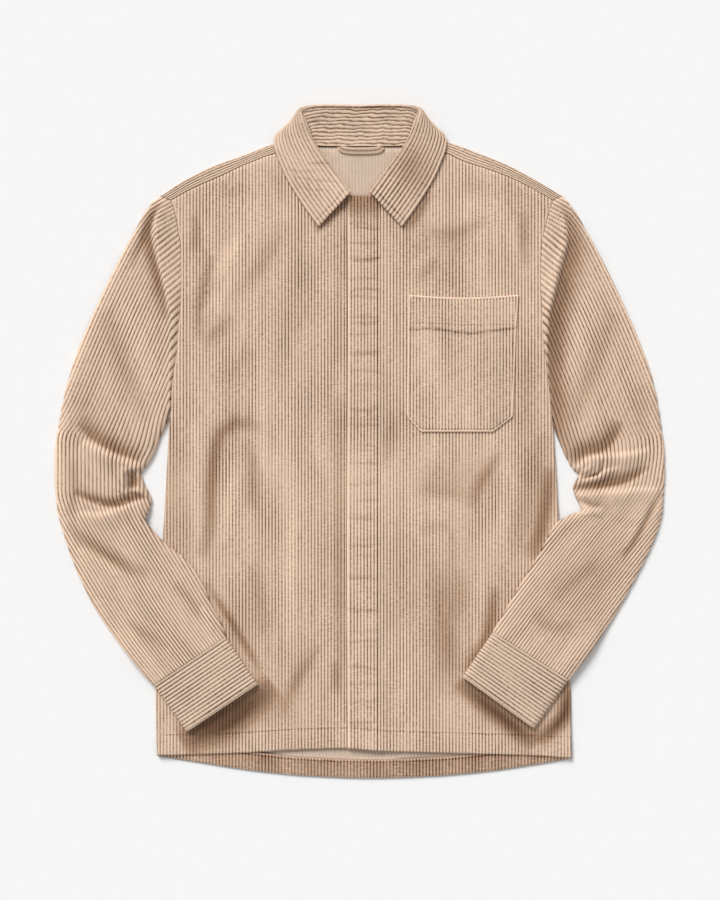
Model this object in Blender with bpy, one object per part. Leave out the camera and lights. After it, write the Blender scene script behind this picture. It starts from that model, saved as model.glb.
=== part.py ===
"""Corduroy shirt jacket laid flat on its back, sleeves bent and forearms on the fronts.

+Z is up, +Y points from the hem to the collar and the wearer's left lies at +X. The origin is on
the surface the jacket lies on, under the middle of its outline. Sizes here are in millimetres and
make_object turns them into metres.
"""

import bmesh
import bpy
import numpy as np

MM = 0.001

# Cloth
CLOTH = 1.6
WALE = 0.8
WALE_PITCH = 4.1
SEAM = 0.35

# Layers of the body, from the surface up
BACK_TOP = 2.0
FRONT_UNDER = 2.3
PLACKET_UNDER = 4.2
PLACKET_CLOTH = 2.4
HEM_BAND_TOP = 3.2
HEM_BAND_WIDTH = 23.5
HEM_BAND_SHOWS = 118.0

# Fronts and placket
PLACKET_LEFT = -15.2
PLACKET_RIGHT = 26.2
PLACKET_TOP = 307.0
UNDERLAP_EDGE = 14.0
FRONT_PLAIN_COLUMNS = 3
HEIGHT_COLUMNS = 40
SIDE_PULL = 4
PLACKET_SLOPE = 32.0

# Each row of the body: height up the jacket, side seam or armhole at the wearer's right and left,
# and how far the front is lifted there by the turned-up hem below it.
BODY_ROWS = np.array([
    # y, right x, left x, hem lift
    (-391.9, -252.8, 264.4, 2.0),
    (-310.6, -254.6, 263.5, 0.2),
    (-223.1, -251.2, 258.1, 0.0),
    (-93.0, -243.9, 248.8, 0.0),
    (36.9, -236.5, 240.6, 0.0),
    (183.1, -223.6, 226.9, 0.0),
    (240.6, -223.1, 226.9, 0.0),
    (284.4, -229.4, 235.9, 0.0),
    (301.2, -235.6, 241.4, 0.0),
])
ARMPIT_ROW = 4
ROW_SHARE = (BODY_ROWS[:, 0] - BODY_ROWS[0, 0]) / (BODY_ROWS[-1, 0] - BODY_ROWS[0, 0])

# How far each front stands off the back, by row and by share of the way from placket to side.
LOFT_SHARES = (0.0, 0.15, 0.35, 0.6, 0.85, 1.0)
LOFT_RIGHT = np.array([
    (0.0, 0.0, 0.0, 0.0, 0.0, 0.0),
    (0.0, 0.2, 0.9, 0.0, 0.0, 0.0),
    (0.0, 0.4, 0.4, 0.0, 0.0, 0.0),
    (0.0, 0.3, 1.8, 0.9, 0.1, 0.0),
    (0.0, 0.6, 1.2, 2.0, 0.6, 0.0),
    (0.0, 0.5, 1.8, 2.2, 0.8, 0.0),
    (0.0, 0.4, 1.0, 1.8, 0.4, 0.0),
    (0.0, 0.0, 0.3, 1.0, 0.6, 0.0),
    (0.0, 0.0, 0.0, 0.0, 0.0, 0.0),
])
LOFT_LEFT = np.array([
    (0.0, 0.0, 0.0, 0.0, 0.0, 0.0),
    (0.0, 0.4, 0.5, 0.0, 0.0, 0.0),
    (0.0, 0.2, 1.0, 0.0, 0.0, 0.0),
    (0.0, 0.5, 1.0, 0.8, 0.1, 0.0),
    (0.0, 0.6, 1.0, 1.4, 0.4, 0.0),
    (0.0, 0.8, 1.0, 1.8, 0.3, 0.0),
    (0.0, 0.3, 1.4, 1.6, 0.2, 0.0),
    (0.0, 0.0, 0.6, 1.0, 0.4, 0.0),
    (0.0, 0.0, 0.0, 0.0, 0.0, 0.0),
])

# Hems, by x
FRONT_HEM = np.array([
    (-252.8, -391.9), (-169.4, -389.6), (-126.9, -387.5), (-74.4, -384.4), (-15.6, -382.9),
    (26.9, -386.2), (83.1, -388.1), (150.6, -390.0), (215.6, -391.9), (264.4, -395.0),
])
BACK_HEM = np.array([
    (-252.8, -392.6), (-206.9, -399.4), (-159.4, -407.1), (-124.4, -411.9), (-63.1, -417.5),
    (9.4, -420.3), (83.1, -418.2), (150.6, -412.8), (223.1, -402.5), (264.4, -395.6),
])

# Top edges, by x: the neckline, then the seam along the front of the shoulder.
FRONT_TOP_RIGHT = np.array([
    (-235.6, 301.2), (-206.9, 316.6), (-174.6, 330.8), (-142.2, 345.9), (-107.6, 358.9),
    (-93.0, 362.6), (-71.5, 362.6), (-67.0, 349.0), (-57.0, 333.4), (-38.5, 313.6),
    (-16.0, 304.5), (14.0, 303.0),
])
FRONT_TOP_LEFT = np.array([
    (PLACKET_RIGHT, 305.5), (40.5, 313.6), (59.0, 333.4), (69.0, 349.0), (73.5, 362.6),
    (95.0, 362.6), (107.5, 360.2), (126.6, 351.1), (168.8, 337.1), (203.1, 322.5),
    (241.4, 301.2),
])
BACK_TOP_EDGE = np.array([
    (-235.6, 301.2), (-206.9, 316.6), (-174.6, 330.8), (-142.2, 345.9), (-107.6, 358.9),
    (-93.0, 362.6), (-71.5, 362.6), (-69.0, 367.0), (-60.0, 368.8), (0.0, 368.4),
    (62.0, 368.8), (71.0, 367.0), (73.5, 362.6), (95.0, 362.6), (107.5, 360.2),
    (126.6, 351.1), (168.8, 337.1), (203.1, 322.5), (241.4, 301.2),
])

# Shoulder strips: the seam with the front, and the fold over the shoulder, armhole end first.
YOKE_RIGHT = np.array([
    # seam x, seam y, fold x, fold y
    (-235.6, 301.2, -249.4, 306.2),
    (-206.9, 316.6, -214.4, 328.1),
    (-174.6, 330.8, -178.1, 345.6),
    (-142.2, 345.9, -141.9, 358.4),
    (-107.6, 358.9, -109.4, 371.0),
    (-93.0, 362.6, -93.9, 375.0),
    (-71.5, 362.6, -71.5, 375.0),
])
YOKE_LEFT = np.array([
    (241.4, 301.2, 253.1, 306.5),
    (203.1, 322.5, 222.2, 325.0),
    (168.8, 337.1, 184.0, 345.6),
    (126.6, 351.1, 146.9, 360.6),
    (107.5, 360.2, 108.8, 374.0),
    (95.0, 362.6, 96.0, 376.4),
    (73.5, 362.6, 73.5, 375.4),
])
YOKE_WALES = 3
YOKE_RIBBED_SHARE = 0.86
YOKE_CLEARANCE = 0.1
YOKE_LEAF_SHARE = 0.8
# The fold's section, as shares of the way from seam to fold and heights
YOKE_FOLD = [(0.97, 3.4), (1.0, 2.2), (0.97, 0.7), (0.9, 0.0)]

# Pocket on the left front: its sides by height, its lower corners cut off, its top band lifted.
POCKET_WALES = 33
POCKET_UNDER_COLUMNS = 13
POCKET_ROWS = np.array([
    # y, left x, right x, band lift
    (12.0, 77.0, 166.0, 0.0),
    (31.0, 59.3, 191.0, 0.0),
    (36.9, 58.9, 191.6, 0.0),
    (143.5, 60.6, 195.6, 0.0),
    (183.1, 61.4, 198.4, 0.6),
])

# Collar, by station from the front edge to the middle of the back, as distances from its middle.
COLLAR_MIDDLE = 1.0
COLLAR_STATIONS = np.array([
    # neck seam x, y, z; roll x, y, z; leaf edge x, y, z; lean of the roll in degrees; its radius
    (14.0, 306.5, 7.6, 13.5, 308.0, 11.5, 52.0, 267.4, 7.6, 0, 2.4),
    (38.0, 315.6, 4.2, 30.0, 331.0, 7.4, 72.5, 295.9, 6.6, 0, 2.4),
    (56.0, 335.0, 4.0, 44.4, 350.1, 7.6, 91.2, 326.1, 6.9, 0, 2.4),
    (64.5, 350.0, 4.0, 53.8, 363.1, 8.2, 101.9, 350.1, 6.9, 10, 2.4),
    (67.0, 363.0, 4.0, 62.5, 378.1, 9.6, 107.5, 366.9, 6.8, 50, 2.4),
    (64.0, 369.5, 3.6, 69.7, 398.1, 13.5, 106.2, 380.6, 4.4, 70, 2.4),
    (60.5, 371.8, 3.0, 75.0, 411.8, 13.4, 88.5, 393.1, 1.4, 70, 2.8),
    (49.0, 371.6, 2.4, 58.5, 416.5, 12.0, 62.5, 393.1, 0.9, 170, 2.4),
    (27.0, 370.6, 2.2, 30.0, 417.3, 11.5, 31.2, 391.9, 0.9, 180, 2.4),
    (0.0, 370.2, 2.2, 0.0, 416.6, 11.5, 0.0, 390.6, 0.9, 180, 2.4),
])
COLLAR_STEPS = (0, 0.5, 1, 2, 3, 3.6, 4.2, 4.7, 5.2, 5.6, 6, 6.5, 7, 8, 9)
STAND_FROM = 2
STAND_WALES = 9
STAND_SAG = 1.3
ROLL_GAP = 0.6
STAND_OUTSIDE_STEP = 6
LEAF_WALES = 11
LEAF_INSIDE_ROWS = (0, 2, 4, 10, 22)
LEAF_RIBS_END = 5.0
LEAF_RIBS_FADE = 1.5
ROLL_POINTS = 4
ROLL_FULLNESS = 2.2

# Hanger loop: its middle line, and its flat section.
LOOP_LINE = [(-24.5, 365.6, 2.35), (-17.5, 363.6, 2.5), (20.5, 363.6, 2.5), (28.0, 365.6, 2.35)]
LOOP_WIDTH = 7.5
LOOP_CLOTH = 1.4

# Sleeves, armhole to cuff: the outer edge and the inner edge of each section, and the height of
# the cloth's top a fifth of the way in, in the middle and at the elbow's inner side.
SLEEVE_RIGHT = np.array([
    # outer x, y; inner x, y; outer, middle, inner height
    (-281.0, 262.0, -238.4, 30.0, 5.5, 7.0, 6.0),
    (-331.0, 164.0, -243.0, 18.0, 8.0, 8.5, 6.5),
    (-367.0, 64.0, -250.0, 1.0, 8.0, 8.5, 8.0),
    (-377.0, 14.0, -258.0, -18.0, 8.0, 8.0, 12.0),
    (-380.6, -36.0, -273.0, -40.0, 8.5, 11.0, 9.0),
    (-379.4, -60.0, -262.0, -66.0, 8.0, 12.5, 14.0),
    (-377.0, -86.0, -262.0, -80.0, 7.0, 6.5, 7.5),
    (-371.0, -111.0, -266.9, -97.0, 9.0, 12.0, 13.0),
    (-353.0, -160.0, -252.0, -119.0, 8.0, 8.0, 9.5),
    (-328.0, -211.0, -213.0, -149.0, 8.5, 9.0, 8.0),
    (-302.0, -248.0, -192.0, -187.0, 8.0, 8.5, 8.0),
    (-256.3, -303.8, -166.9, -243.8, 7.5, 7.5, 7.5),
])
SLEEVE_LEFT = np.array([
    (285.0, 260.0, 242.6, 20.0, 5.5, 7.0, 6.0),
    (330.0, 173.0, 246.5, 10.0, 8.0, 8.5, 6.5),
    (365.0, 84.0, 251.0, -2.0, 8.0, 8.5, 8.0),
    (378.0, 10.0, 260.0, -22.0, 8.0, 9.0, 12.0),
    (380.6, -36.0, 274.0, -41.0, 8.0, 8.5, 12.5),
    (380.0, -60.0, 267.5, -58.0, 8.0, 6.5, 6.5),
    (378.0, -86.0, 272.4, -72.5, 9.5, 12.5, 13.0),
    (371.0, -112.0, 277.0, -86.0, 8.0, 10.0, 12.0),
    (350.0, -160.0, 250.6, -98.4, 7.0, 8.5, 10.0),
    (322.0, -211.0, 225.0, -140.0, 8.0, 9.0, 8.0),
    (300.0, -246.0, 202.0, -178.0, 8.0, 8.5, 8.0),
    (260.6, -297.2, 166.4, -237.4, 7.5, 7.5, 7.5),
])
# The seam allowance lifts the sleeve head in a ridge beside the armhole.
CAP_RIDGE_RIGHT = [
    (-263.1, 292.5), (-255.6, 270.0), (-251.9, 236.9), (-241.2, 189.4), (-235.0, 150.0),
    (-237.6, 90.0), (-237.4, 34.0),
]
CAP_RIDGE_LEFT = [
    (265.4, 291.9), (258.1, 262.0), (256.2, 236.9), (243.1, 189.4), (236.5, 150.0),
    (237.6, 90.0), (241.9, 25.0),
]
CAP_RIDGE_HEIGHT = 7.0
WALE_SLANT = 27.0
SLEEVE_WALES = 34
SLEEVE_LINING_SHARES = (0.04, 0.14, 0.5, 0.86, 0.96)
SLEEVE_UNDER_SHARES = (0.03, 0.18, 0.34, 0.5, 0.66, 0.82, 0.97)
SLEEVE_HOLLOW = 3.4
EDGE_ROUNDING = 11.0
EDGE_HEIGHT = 1.8
SLEEVE_CLEARANCE = 0.5
ARMPIT_RISE = 4.0
RAMP_START = 56.0
RAMP_END = 22.0
RAMP_ROWS = (-70.0, -104.0)

# Cuffs: the two corners at the hand, and where points lie across
CUFF_RIGHT_END = ((-215.6, -361.9), (-126.9, -302.5))
CUFF_LEFT_END = ((217.9, -358.1), (128.0, -293.1))
CUFF_WALES = 16
CUFF_HEIGHT = 7.0
CUFF_TOP_SHARES = np.array([0.0, 0.02, 0.1, 0.5, 0.9, 0.98, 1.0])
CUFF_UNDER_SHARES = np.array([0.97, 0.03])
CUFF_LINING_SHARES = np.array([0.03, 0.1, 0.5, 0.9, 0.97])

# Colour of each piece as the photograph shows it, linear RGB
CORD_COLOUR = (0.565, 0.402, 0.287, 1.0)
INSIDE_COLOUR = (0.624, 0.485, 0.381, 1.0)
CUFF_COLOUR = (0.539, 0.386, 0.292, 1.0)
ROUGHNESS = 0.92


class Surface:
    """Points and faces of one closed piece, gathered grid by grid."""

    def __init__(self):
        self.points = []
        self.faces = []

    def grid(self, rows):
        """Add rows of points with a face in each cell, and return their indices."""
        count, across = rows.shape[:2]
        start = len(self.points)
        self.points.extend(map(tuple, rows.reshape(-1, 3)))
        index = start + np.arange(count * across).reshape(count, across)
        for low, high in zip(index[:-1], index[1:]):
            for i in range(across - 1):
                self.faces.append((low[i], low[i + 1], high[i + 1], high[i]))
        return index

    def ring_grid(self, rings):
        """Add closed rings of points joined into a tube."""
        index = self.grid(rings)
        for low, high in zip(index[:-1], index[1:]):
            self.faces.append((low[-1], low[0], high[0], high[-1]))
        return index

    def join(self, first, second):
        """Fill the strip between two runs of points whose ends face each other."""
        shares = [self.run_shares(first), self.run_shares(second)]
        i = j = 0
        while i < len(first) - 1 or j < len(second) - 1:
            step_first = j == len(second) - 1 or (
                i < len(first) - 1 and shares[0][i + 1] <= shares[1][j + 1]
            )
            if step_first:
                self.faces.append((first[i], first[i + 1], second[j]))
                i += 1
            else:
                self.faces.append((first[i], second[j + 1], second[j]))
                j += 1

    def run_shares(self, run):
        """How far along its run each point lies, from 0 to 1."""
        points = np.array([self.points[i] for i in run])
        lengths = np.linalg.norm(np.diff(points, axis=0), axis=1)
        return np.append(0, np.cumsum(lengths)) / lengths.sum()


def linear(table, x):
    """Height of a polyline, given as rows of x and y, at x."""
    return np.interp(x, table[:, 0], table[:, 1])


def smoothstep(share):
    share = np.clip(share, 0, 1)
    return share * share * (3 - 2 * share)


def wale_columns(count):
    """Heights across count wales, from groove to groove."""
    return np.tile((0.0, WALE), count + 1)[: 2 * count + 1]


def make_object(name, surface, colour):
    """One mesh object in metres with its own material, its faces turned outwards."""
    mesh = bpy.data.meshes.new(name)
    build = bmesh.new()
    points = [build.verts.new(np.array(point) * MM) for point in surface.points]
    for face in surface.faces:
        build.faces.new([points[i] for i in face])
    bmesh.ops.recalc_face_normals(build, faces=build.faces)
    build.to_mesh(mesh)
    build.free()
    piece = bpy.data.objects.new(name, mesh)
    piece.data.materials.append(cloth_material(name, colour))
    jacket.objects.link(piece)


def cloth_material(name, colour):
    material = bpy.data.materials.new(name + "_cloth")
    material.use_nodes = True
    shader = material.node_tree.nodes["Principled BSDF"]
    shader.inputs["Base Color"].default_value = colour
    shader.inputs["Roughness"].default_value = ROUGHNESS
    shader.inputs["Metallic"].default_value = 0.0
    return material


def wall(name, top, under):
    """A sheet of cloth between a ribbed top and a coarser underside with the same corners."""
    surface = Surface()
    upper = surface.grid(top)
    lower = surface.grid(under)
    for edge in (np.s_[0, :], np.s_[-1, :], np.s_[:, 0], np.s_[:, -1]):
        surface.join(upper[edge], lower[edge])
    make_object(name, surface, CORD_COLOUR)


def stacked(x, y, z):
    """Grid points from three grids of coordinates."""
    return np.stack(np.broadcast_arrays(x, y, z), axis=-1)


class Front:
    """One front's plan: columns run from its front edge to the side seam and the armhole."""

    def __init__(self, edge, side, top, loft, visible_from):
        self.edge = edge
        self.side = side
        self.sign = np.sign(side[0] - edge)
        self.width = abs(side[0] - edge)
        self.top = top
        self.loft = loft
        self.visible_from = visible_from

    def plan(self, along):
        """x and y of the points a distance along from the front edge, for every body row."""
        along = np.asarray(along, float)[None, :]
        reach = np.abs(self.side - self.edge)[:, None]
        pull = (reach - self.width) * (along / self.width) ** SIDE_PULL
        x = self.edge + self.sign * (along + pull)
        hem = linear(FRONT_HEM, x[0])
        top = linear(self.top, x[-1])
        return x, hem + ROW_SHARE[:, None] * (top - hem)

    def under(self, along):
        """Height of the front's plain underside at the same points."""
        along = np.asarray(along, float)
        share = np.clip((along - self.visible_from) / (self.width - self.visible_from), 0, 1)
        loft = np.array([np.interp(share, LOFT_SHARES, row) for row in self.loft])
        return FRONT_UNDER + BODY_ROWS[:, 3:4] + loft + self.slope(along)

    def slope(self, along):
        """The left front climbs to the placket that it is sewn to."""
        if self.sign < 0:
            return np.zeros_like(along)
        rise = PLACKET_UNDER - FRONT_UNDER
        return rise * (1 - smoothstep(along / PLACKET_SLOPE))

    def wale_places(self):
        """Distances of the columns from the front edge, and the height that each adds."""
        wales = round((self.width - self.visible_from) / WALE_PITCH)
        columns = np.linspace(self.visible_from, self.width, 2 * wales + 1)
        raised = wale_columns(wales)
        if self.visible_from > 0:
            plain = np.linspace(0, self.visible_from, FRONT_PLAIN_COLUMNS, endpoint=False)
            columns = np.concatenate([plain, columns])
            raised = np.concatenate([np.zeros(FRONT_PLAIN_COLUMNS), raised])
        return columns, raised

    def under_places(self):
        """Distances of the underside's columns: the loft's shares and the top edge's corners."""
        dense = np.linspace(0, self.width, HEIGHT_COLUMNS)
        order = slice(None, None, int(self.sign))
        corners = np.interp(self.top[:, 0], self.plan(dense)[0][-1][order], dense[order])
        shares = self.visible_from + np.array(LOFT_SHARES) * (self.width - self.visible_from)
        places = np.sort(np.concatenate([corners, shares]))
        return places[np.append(True, np.diff(places) > SEAM)]

    def height_over(self, x, y):
        """Height of the front's top, on its wales, under points of something that lies on it."""
        columns = np.linspace(0, self.width, HEIGHT_COLUMNS)
        grid_x, grid_y = self.plan(columns)
        grid_z = self.under(columns) + CLOTH + WALE
        order = slice(None, None, int(self.sign))

        def height(x, y):
            row = [np.interp(y, *pair) for pair in zip(grid_y.T, grid_x.T)]
            top = [np.interp(y, *pair) for pair in zip(grid_y.T, grid_z.T)]
            return np.interp(x, row[order], top[order])

        return np.vectorize(height)(x, y)


def make_front(name, front):
    columns, raised = front.wale_places()
    x, y = front.plan(columns)
    top = stacked(x, y, front.under(columns) + CLOTH + raised)
    under_columns = front.under_places()
    x, y = front.plan(under_columns)
    wall(name, top, stacked(x, y, front.under(under_columns)))


def make_placket():
    """The band lies over the right front's edge and is sewn to the left front."""
    left, right = PLACKET_LEFT, PLACKET_RIGHT - SEAM
    wales = round((right - left) / WALE_PITCH)
    columns = np.linspace(left, right, 2 * wales + 1)
    share = ROW_SHARE[:, None]
    lift = BODY_ROWS[:, 3:4]
    hem = linear(FRONT_HEM, columns)
    y = hem + share * (PLACKET_TOP - hem)
    bottom = PLACKET_UNDER + lift
    top = stacked(columns[None, :], y, bottom + PLACKET_CLOTH + wale_columns(wales))
    edges = np.array([left, right])
    hem = linear(FRONT_HEM, edges)
    y = hem + share * (PLACKET_TOP - hem)
    wall("placket", top, stacked(edges[None, :], y, bottom))


def make_back():
    """One layer on the surface, its plain inside up, with the ribbed hem turned up on it."""
    wales = round((BODY_ROWS[0, 2] - BODY_ROWS[0, 1]) / WALE_PITCH)
    shares = np.linspace(0, 1, 2 * wales + 1)
    ends_x = BODY_ROWS[0, 1] + shares * (BODY_ROWS[0, 2] - BODY_ROWS[0, 1])
    hem = linear(BACK_HEM, ends_x)
    ribs = wale_columns(wales)
    inner_ribs = np.where(np.abs(ends_x - COLLAR_MIDDLE) > HEM_BAND_SHOWS, 0, ribs)
    band = np.array([
        stacked(ends_x, hem, HEM_BAND_TOP + ribs),
        stacked(ends_x, hem + HEM_BAND_WIDTH, HEM_BAND_TOP + inner_ribs),
    ])
    corners = BACK_TOP_EDGE[:, 0]
    share = (corners - corners[0]) / (corners[-1] - corners[0])
    x = BODY_ROWS[:, 1:2] + share * (BODY_ROWS[:, 2:3] - BODY_ROWS[:, 1:2])
    hem = linear(BACK_HEM, x[0])
    y = hem + ROW_SHARE[:, None] * (BACK_TOP_EDGE[:, 1] - hem)
    inside_y = y.copy()
    inside_y[0] = hem + HEM_BAND_WIDTH + SEAM

    surface = Surface()
    ribbed = surface.grid(band)
    plain = surface.grid(stacked(x, inside_y, BACK_TOP))
    floor = surface.grid(stacked(x, y, 0.0))
    surface.join(ribbed[-1], plain[0])
    surface.join(ribbed[0], floor[0])
    surface.join(plain[-1], floor[-1])
    for side in (0, -1):
        surface.join(list(ribbed[:, side]) + list(plain[:, side]), floor[:, side])
    make_object("back_panel", surface, INSIDE_COLOUR)


def make_yoke(name, table):
    """A strip folded over the shoulder: one leaf on the front, one on the surface."""
    shares = np.linspace(0, YOKE_RIBBED_SHARE, 2 * YOKE_WALES + 1)
    upper = np.stack([shares, FRONT_UNDER + CLOTH + wale_columns(YOKE_WALES)], axis=1)
    lower_leaf = BACK_TOP - YOKE_CLEARANCE
    upper_leaf = FRONT_UNDER - YOKE_CLEARANCE
    inside = [
        (0.0, 0.0),
        (0.0, lower_leaf),
        (YOKE_LEAF_SHARE, lower_leaf),
        (YOKE_LEAF_SHARE, upper_leaf),
        (0.0, upper_leaf),
    ]
    section = np.concatenate([upper, YOKE_FOLD, inside])
    seam, edge = table[:, None, :2], table[:, None, 2:]
    across = edge - seam
    start = seam + SEAM * across / np.linalg.norm(across, axis=2, keepdims=True)
    plan = start + section[None, :, :1] * (edge - start)
    rings = np.dstack([plan, np.broadcast_to(section[:, 1], plan.shape[:2])])
    surface = Surface()
    index = surface.ring_grid(rings)
    surface.faces.append(tuple(index[0]))
    surface.faces.append(tuple(index[-1]))
    make_object(name, surface, CORD_COLOUR)


def make_pocket(front):
    """A patch on the left front, lifted from the front's own surface."""
    y = POCKET_ROWS[:, :1]

    def rows(shares):
        x = POCKET_ROWS[:, 1:2] + shares * (POCKET_ROWS[:, 2:3] - POCKET_ROWS[:, 1:2])
        height = np.array([front.height_over(x[i], y[i, 0]) for i in range(len(y))])
        return x, height + SEAM

    x, height = rows(np.linspace(0, 1, 2 * POCKET_WALES + 1))
    top = stacked(x, y, height + CLOTH + POCKET_ROWS[:, 3:4] + wale_columns(POCKET_WALES))
    x, height = rows(np.linspace(0, 1, POCKET_UNDER_COLUMNS))
    wall("pocket", top, stacked(x, y, height))


def collar_curve(step):
    """The station table read at a fractional station, along smooth curves."""
    index = min(int(step), len(COLLAR_STATIONS) - 2)
    share = step - index
    last = len(COLLAR_STATIONS) - 1
    mirrored = COLLAR_STATIONS[last - 1].copy()
    mirrored[[0, 3, 6]] *= -1
    rows = [*COLLAR_STATIONS, mirrored]
    before = rows[max(index - 1, 0)]
    here, after, later = rows[index], rows[index + 1], rows[min(index + 2, last + 1)]
    tangent, next_tangent = (after - before) / 2, (later - here) / 2
    return (
        here * (1 + 2 * share) * (1 - share) ** 2
        + tangent * share * (1 - share) ** 2
        + after * share**2 * (3 - 2 * share)
        + next_tangent * share**2 * (share - 1)
    )


def unit(vector):
    return vector / np.linalg.norm(vector, axis=-1, keepdims=True)


def collar_sections():
    """Middle lines of the stand and of the leaf at each station of one half."""
    stands, leaves = [], []
    for step in COLLAR_STEPS:
        row = collar_curve(step)
        seam, roll, edge = row[0:3], row[3:6], row[6:9]
        lean = np.radians(row[9])
        between = unit(np.append(unit((edge - roll)[:2]) + unit((seam - roll)[:2]), 0.0))
        side = np.array([-between[1], between[0], 0.0])
        across = np.cos(lean) * np.array([0, 0, 1.0]) + np.sin(lean) * side
        radius = row[10]
        stand_top = roll - radius * across
        leaf_top = roll + radius * across
        stand_way, leaf_way = unit(seam - stand_top), unit(edge - leaf_top)
        stand_top = stand_top + radius * stand_way
        handle = ROLL_FULLNESS * radius
        start = stand_top - SEAM * stand_way
        leaf_start = leaf_top + radius * leaf_way
        share = np.linspace(0, 1, ROLL_POINTS, endpoint=False)[:, None]
        bend = (
            start * (1 - share) ** 3
            + 3 * (start - handle * stand_way) * share * (1 - share) ** 2
            + 3 * (leaf_start - handle * leaf_way) * share**2 * (1 - share)
            + leaf_start * share**3
        )
        fall = leaf_start + np.linspace(0, 1, 2 * LEAF_WALES + 1 - ROLL_POINTS)[:, None] * (
            edge - leaf_start
        )
        rise = np.linspace(0, 1, 2 * STAND_WALES + 1)[:, None]
        stand = seam + rise * (stand_top + ROLL_GAP * stand_way - seam)
        stand[:, 2] = np.maximum(stand[:, 2] - STAND_SAG * np.sin(np.pi * rise[:, 0]), seam[2])
        stands.append(stand)
        leaves.append(np.concatenate([bend, fall]))
    return np.array(stands), np.array(leaves)


def both_halves(half):
    """A half's stations followed by their mirror image, as one run from side to side."""
    other = half[-2::-1].copy() if abs(half[-1, 0, 0]) < 1e-9 else half[::-1].copy()
    other[..., 0] *= -1
    whole = np.concatenate([half, other])
    whole[..., 0] += COLLAR_MIDDLE
    return whole


def normals(grid):
    """Directions square to a grid of points."""
    across = np.gradient(grid, axis=1)
    along = np.gradient(grid, axis=0)
    return unit(np.cross(along, across))


def make_collar():
    stand_half, leaf_half = collar_sections()
    steps = np.array(COLLAR_STEPS)
    fade = 1 - smoothstep((steps - LEAF_RIBS_END) / LEAF_RIBS_FADE)
    fade = np.concatenate([fade, fade[-2::-1]])[:, None, None]
    leaf = both_halves(leaf_half)
    square = normals(leaf)
    ribs = wale_columns(LEAF_WALES)[None, :, None]
    outer = leaf - square * (CLOTH / 2 + ribs * fade)
    inner = (leaf + square * CLOTH / 2)[:, LEAF_INSIDE_ROWS]
    wall("collar_leaf", outer, inner)

    stand = both_halves(stand_half[STAND_FROM:])
    square = normals(stand)
    ribs = wale_columns(STAND_WALES)[None, :, None]
    inner = stand - square * (CLOTH / 2 + ribs)
    outer = (stand + square * CLOTH / 2)[:, ::STAND_OUTSIDE_STEP]
    wall("collar_stand", inner, outer)


def make_loop():
    """A flat folded strip sewn down at both ends."""
    line = np.array(LOOP_LINE)
    along = unit(np.gradient(line, axis=0)[:, :2])
    across = np.stack([-along[:, 1], along[:, 0], np.zeros(len(line))], axis=1)
    up = np.array([0, 0, LOOP_CLOTH])
    half = across * LOOP_WIDTH / 2
    rings = np.stack([line - half, line + half, line + half + up, line - half + up], axis=1)
    surface = Surface()
    index = surface.ring_grid(rings)
    surface.faces.append(tuple(index[0]))
    surface.faces.append(tuple(index[-1]))
    make_object("hanger_loop", surface, INSIDE_COLOUR)


def by_projection(line, shares, sign):
    """Points of a polyline at even spacings across the sleeve's wales."""
    line = np.array(line, float)
    slant = np.radians(WALE_SLANT)
    across = line @ np.array([-sign * np.cos(slant), -np.sin(slant)])
    place = across[0] + shares * (across[-1] - across[0])
    return np.stack([np.interp(place, across, line[:, i]) for i in (0, 1)], axis=-1)


def armhole_line(column, table, fold):
    """The armhole from the shoulder's fold to the armpit, a seam's gap outside the body."""
    rows = BODY_ROWS[: ARMPIT_ROW - 1 : -1]
    line = [fold, *[(row[column], row[0]) for row in rows]]
    side = BODY_ROWS[ARMPIT_ROW - 1 : ARMPIT_ROW + 1]
    armpit = table[0, 3] + ARMPIT_RISE
    line.append((np.interp(armpit, side[:, 0], side[:, column]), armpit))
    line = np.array(line)
    sign = np.sign(line[0, 0])
    line[1:, 0] += sign * SEAM
    line[:2, 1] -= SEAM
    return line


def ground(x, y, column, front):
    """Height that the sleeve lies on: the surface outside the body, the front's top on it."""
    sign = np.sign(x)
    side = np.interp(y, BODY_ROWS[:, 0], BODY_ROWS[:, column])
    outside = sign * (x - side)
    climb = 1 - smoothstep((outside - RAMP_END) / (RAMP_START - RAMP_END))
    climb = climb * smoothstep((RAMP_ROWS[0] - y) / (RAMP_ROWS[0] - RAMP_ROWS[1]))
    return climb * (front.height_over(x, y) + SLEEVE_CLEARANCE)


def heights_across(shares, width, heights):
    """Top of a flattened tube across its width: rounded edges, then the given heights."""
    edge = np.minimum(shares, 1 - shares) * width
    rounding = np.sqrt(1 - (1 - np.clip(edge / EDGE_ROUNDING, 0, 1)) ** 2)
    crown = np.interp(shares, (0.0, 0.2, 0.5, 0.8, 1.0), np.array(heights)[[0, 0, 1, 2, 2]])
    return EDGE_HEIGHT + (crown - EDGE_HEIGHT) * rounding


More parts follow.
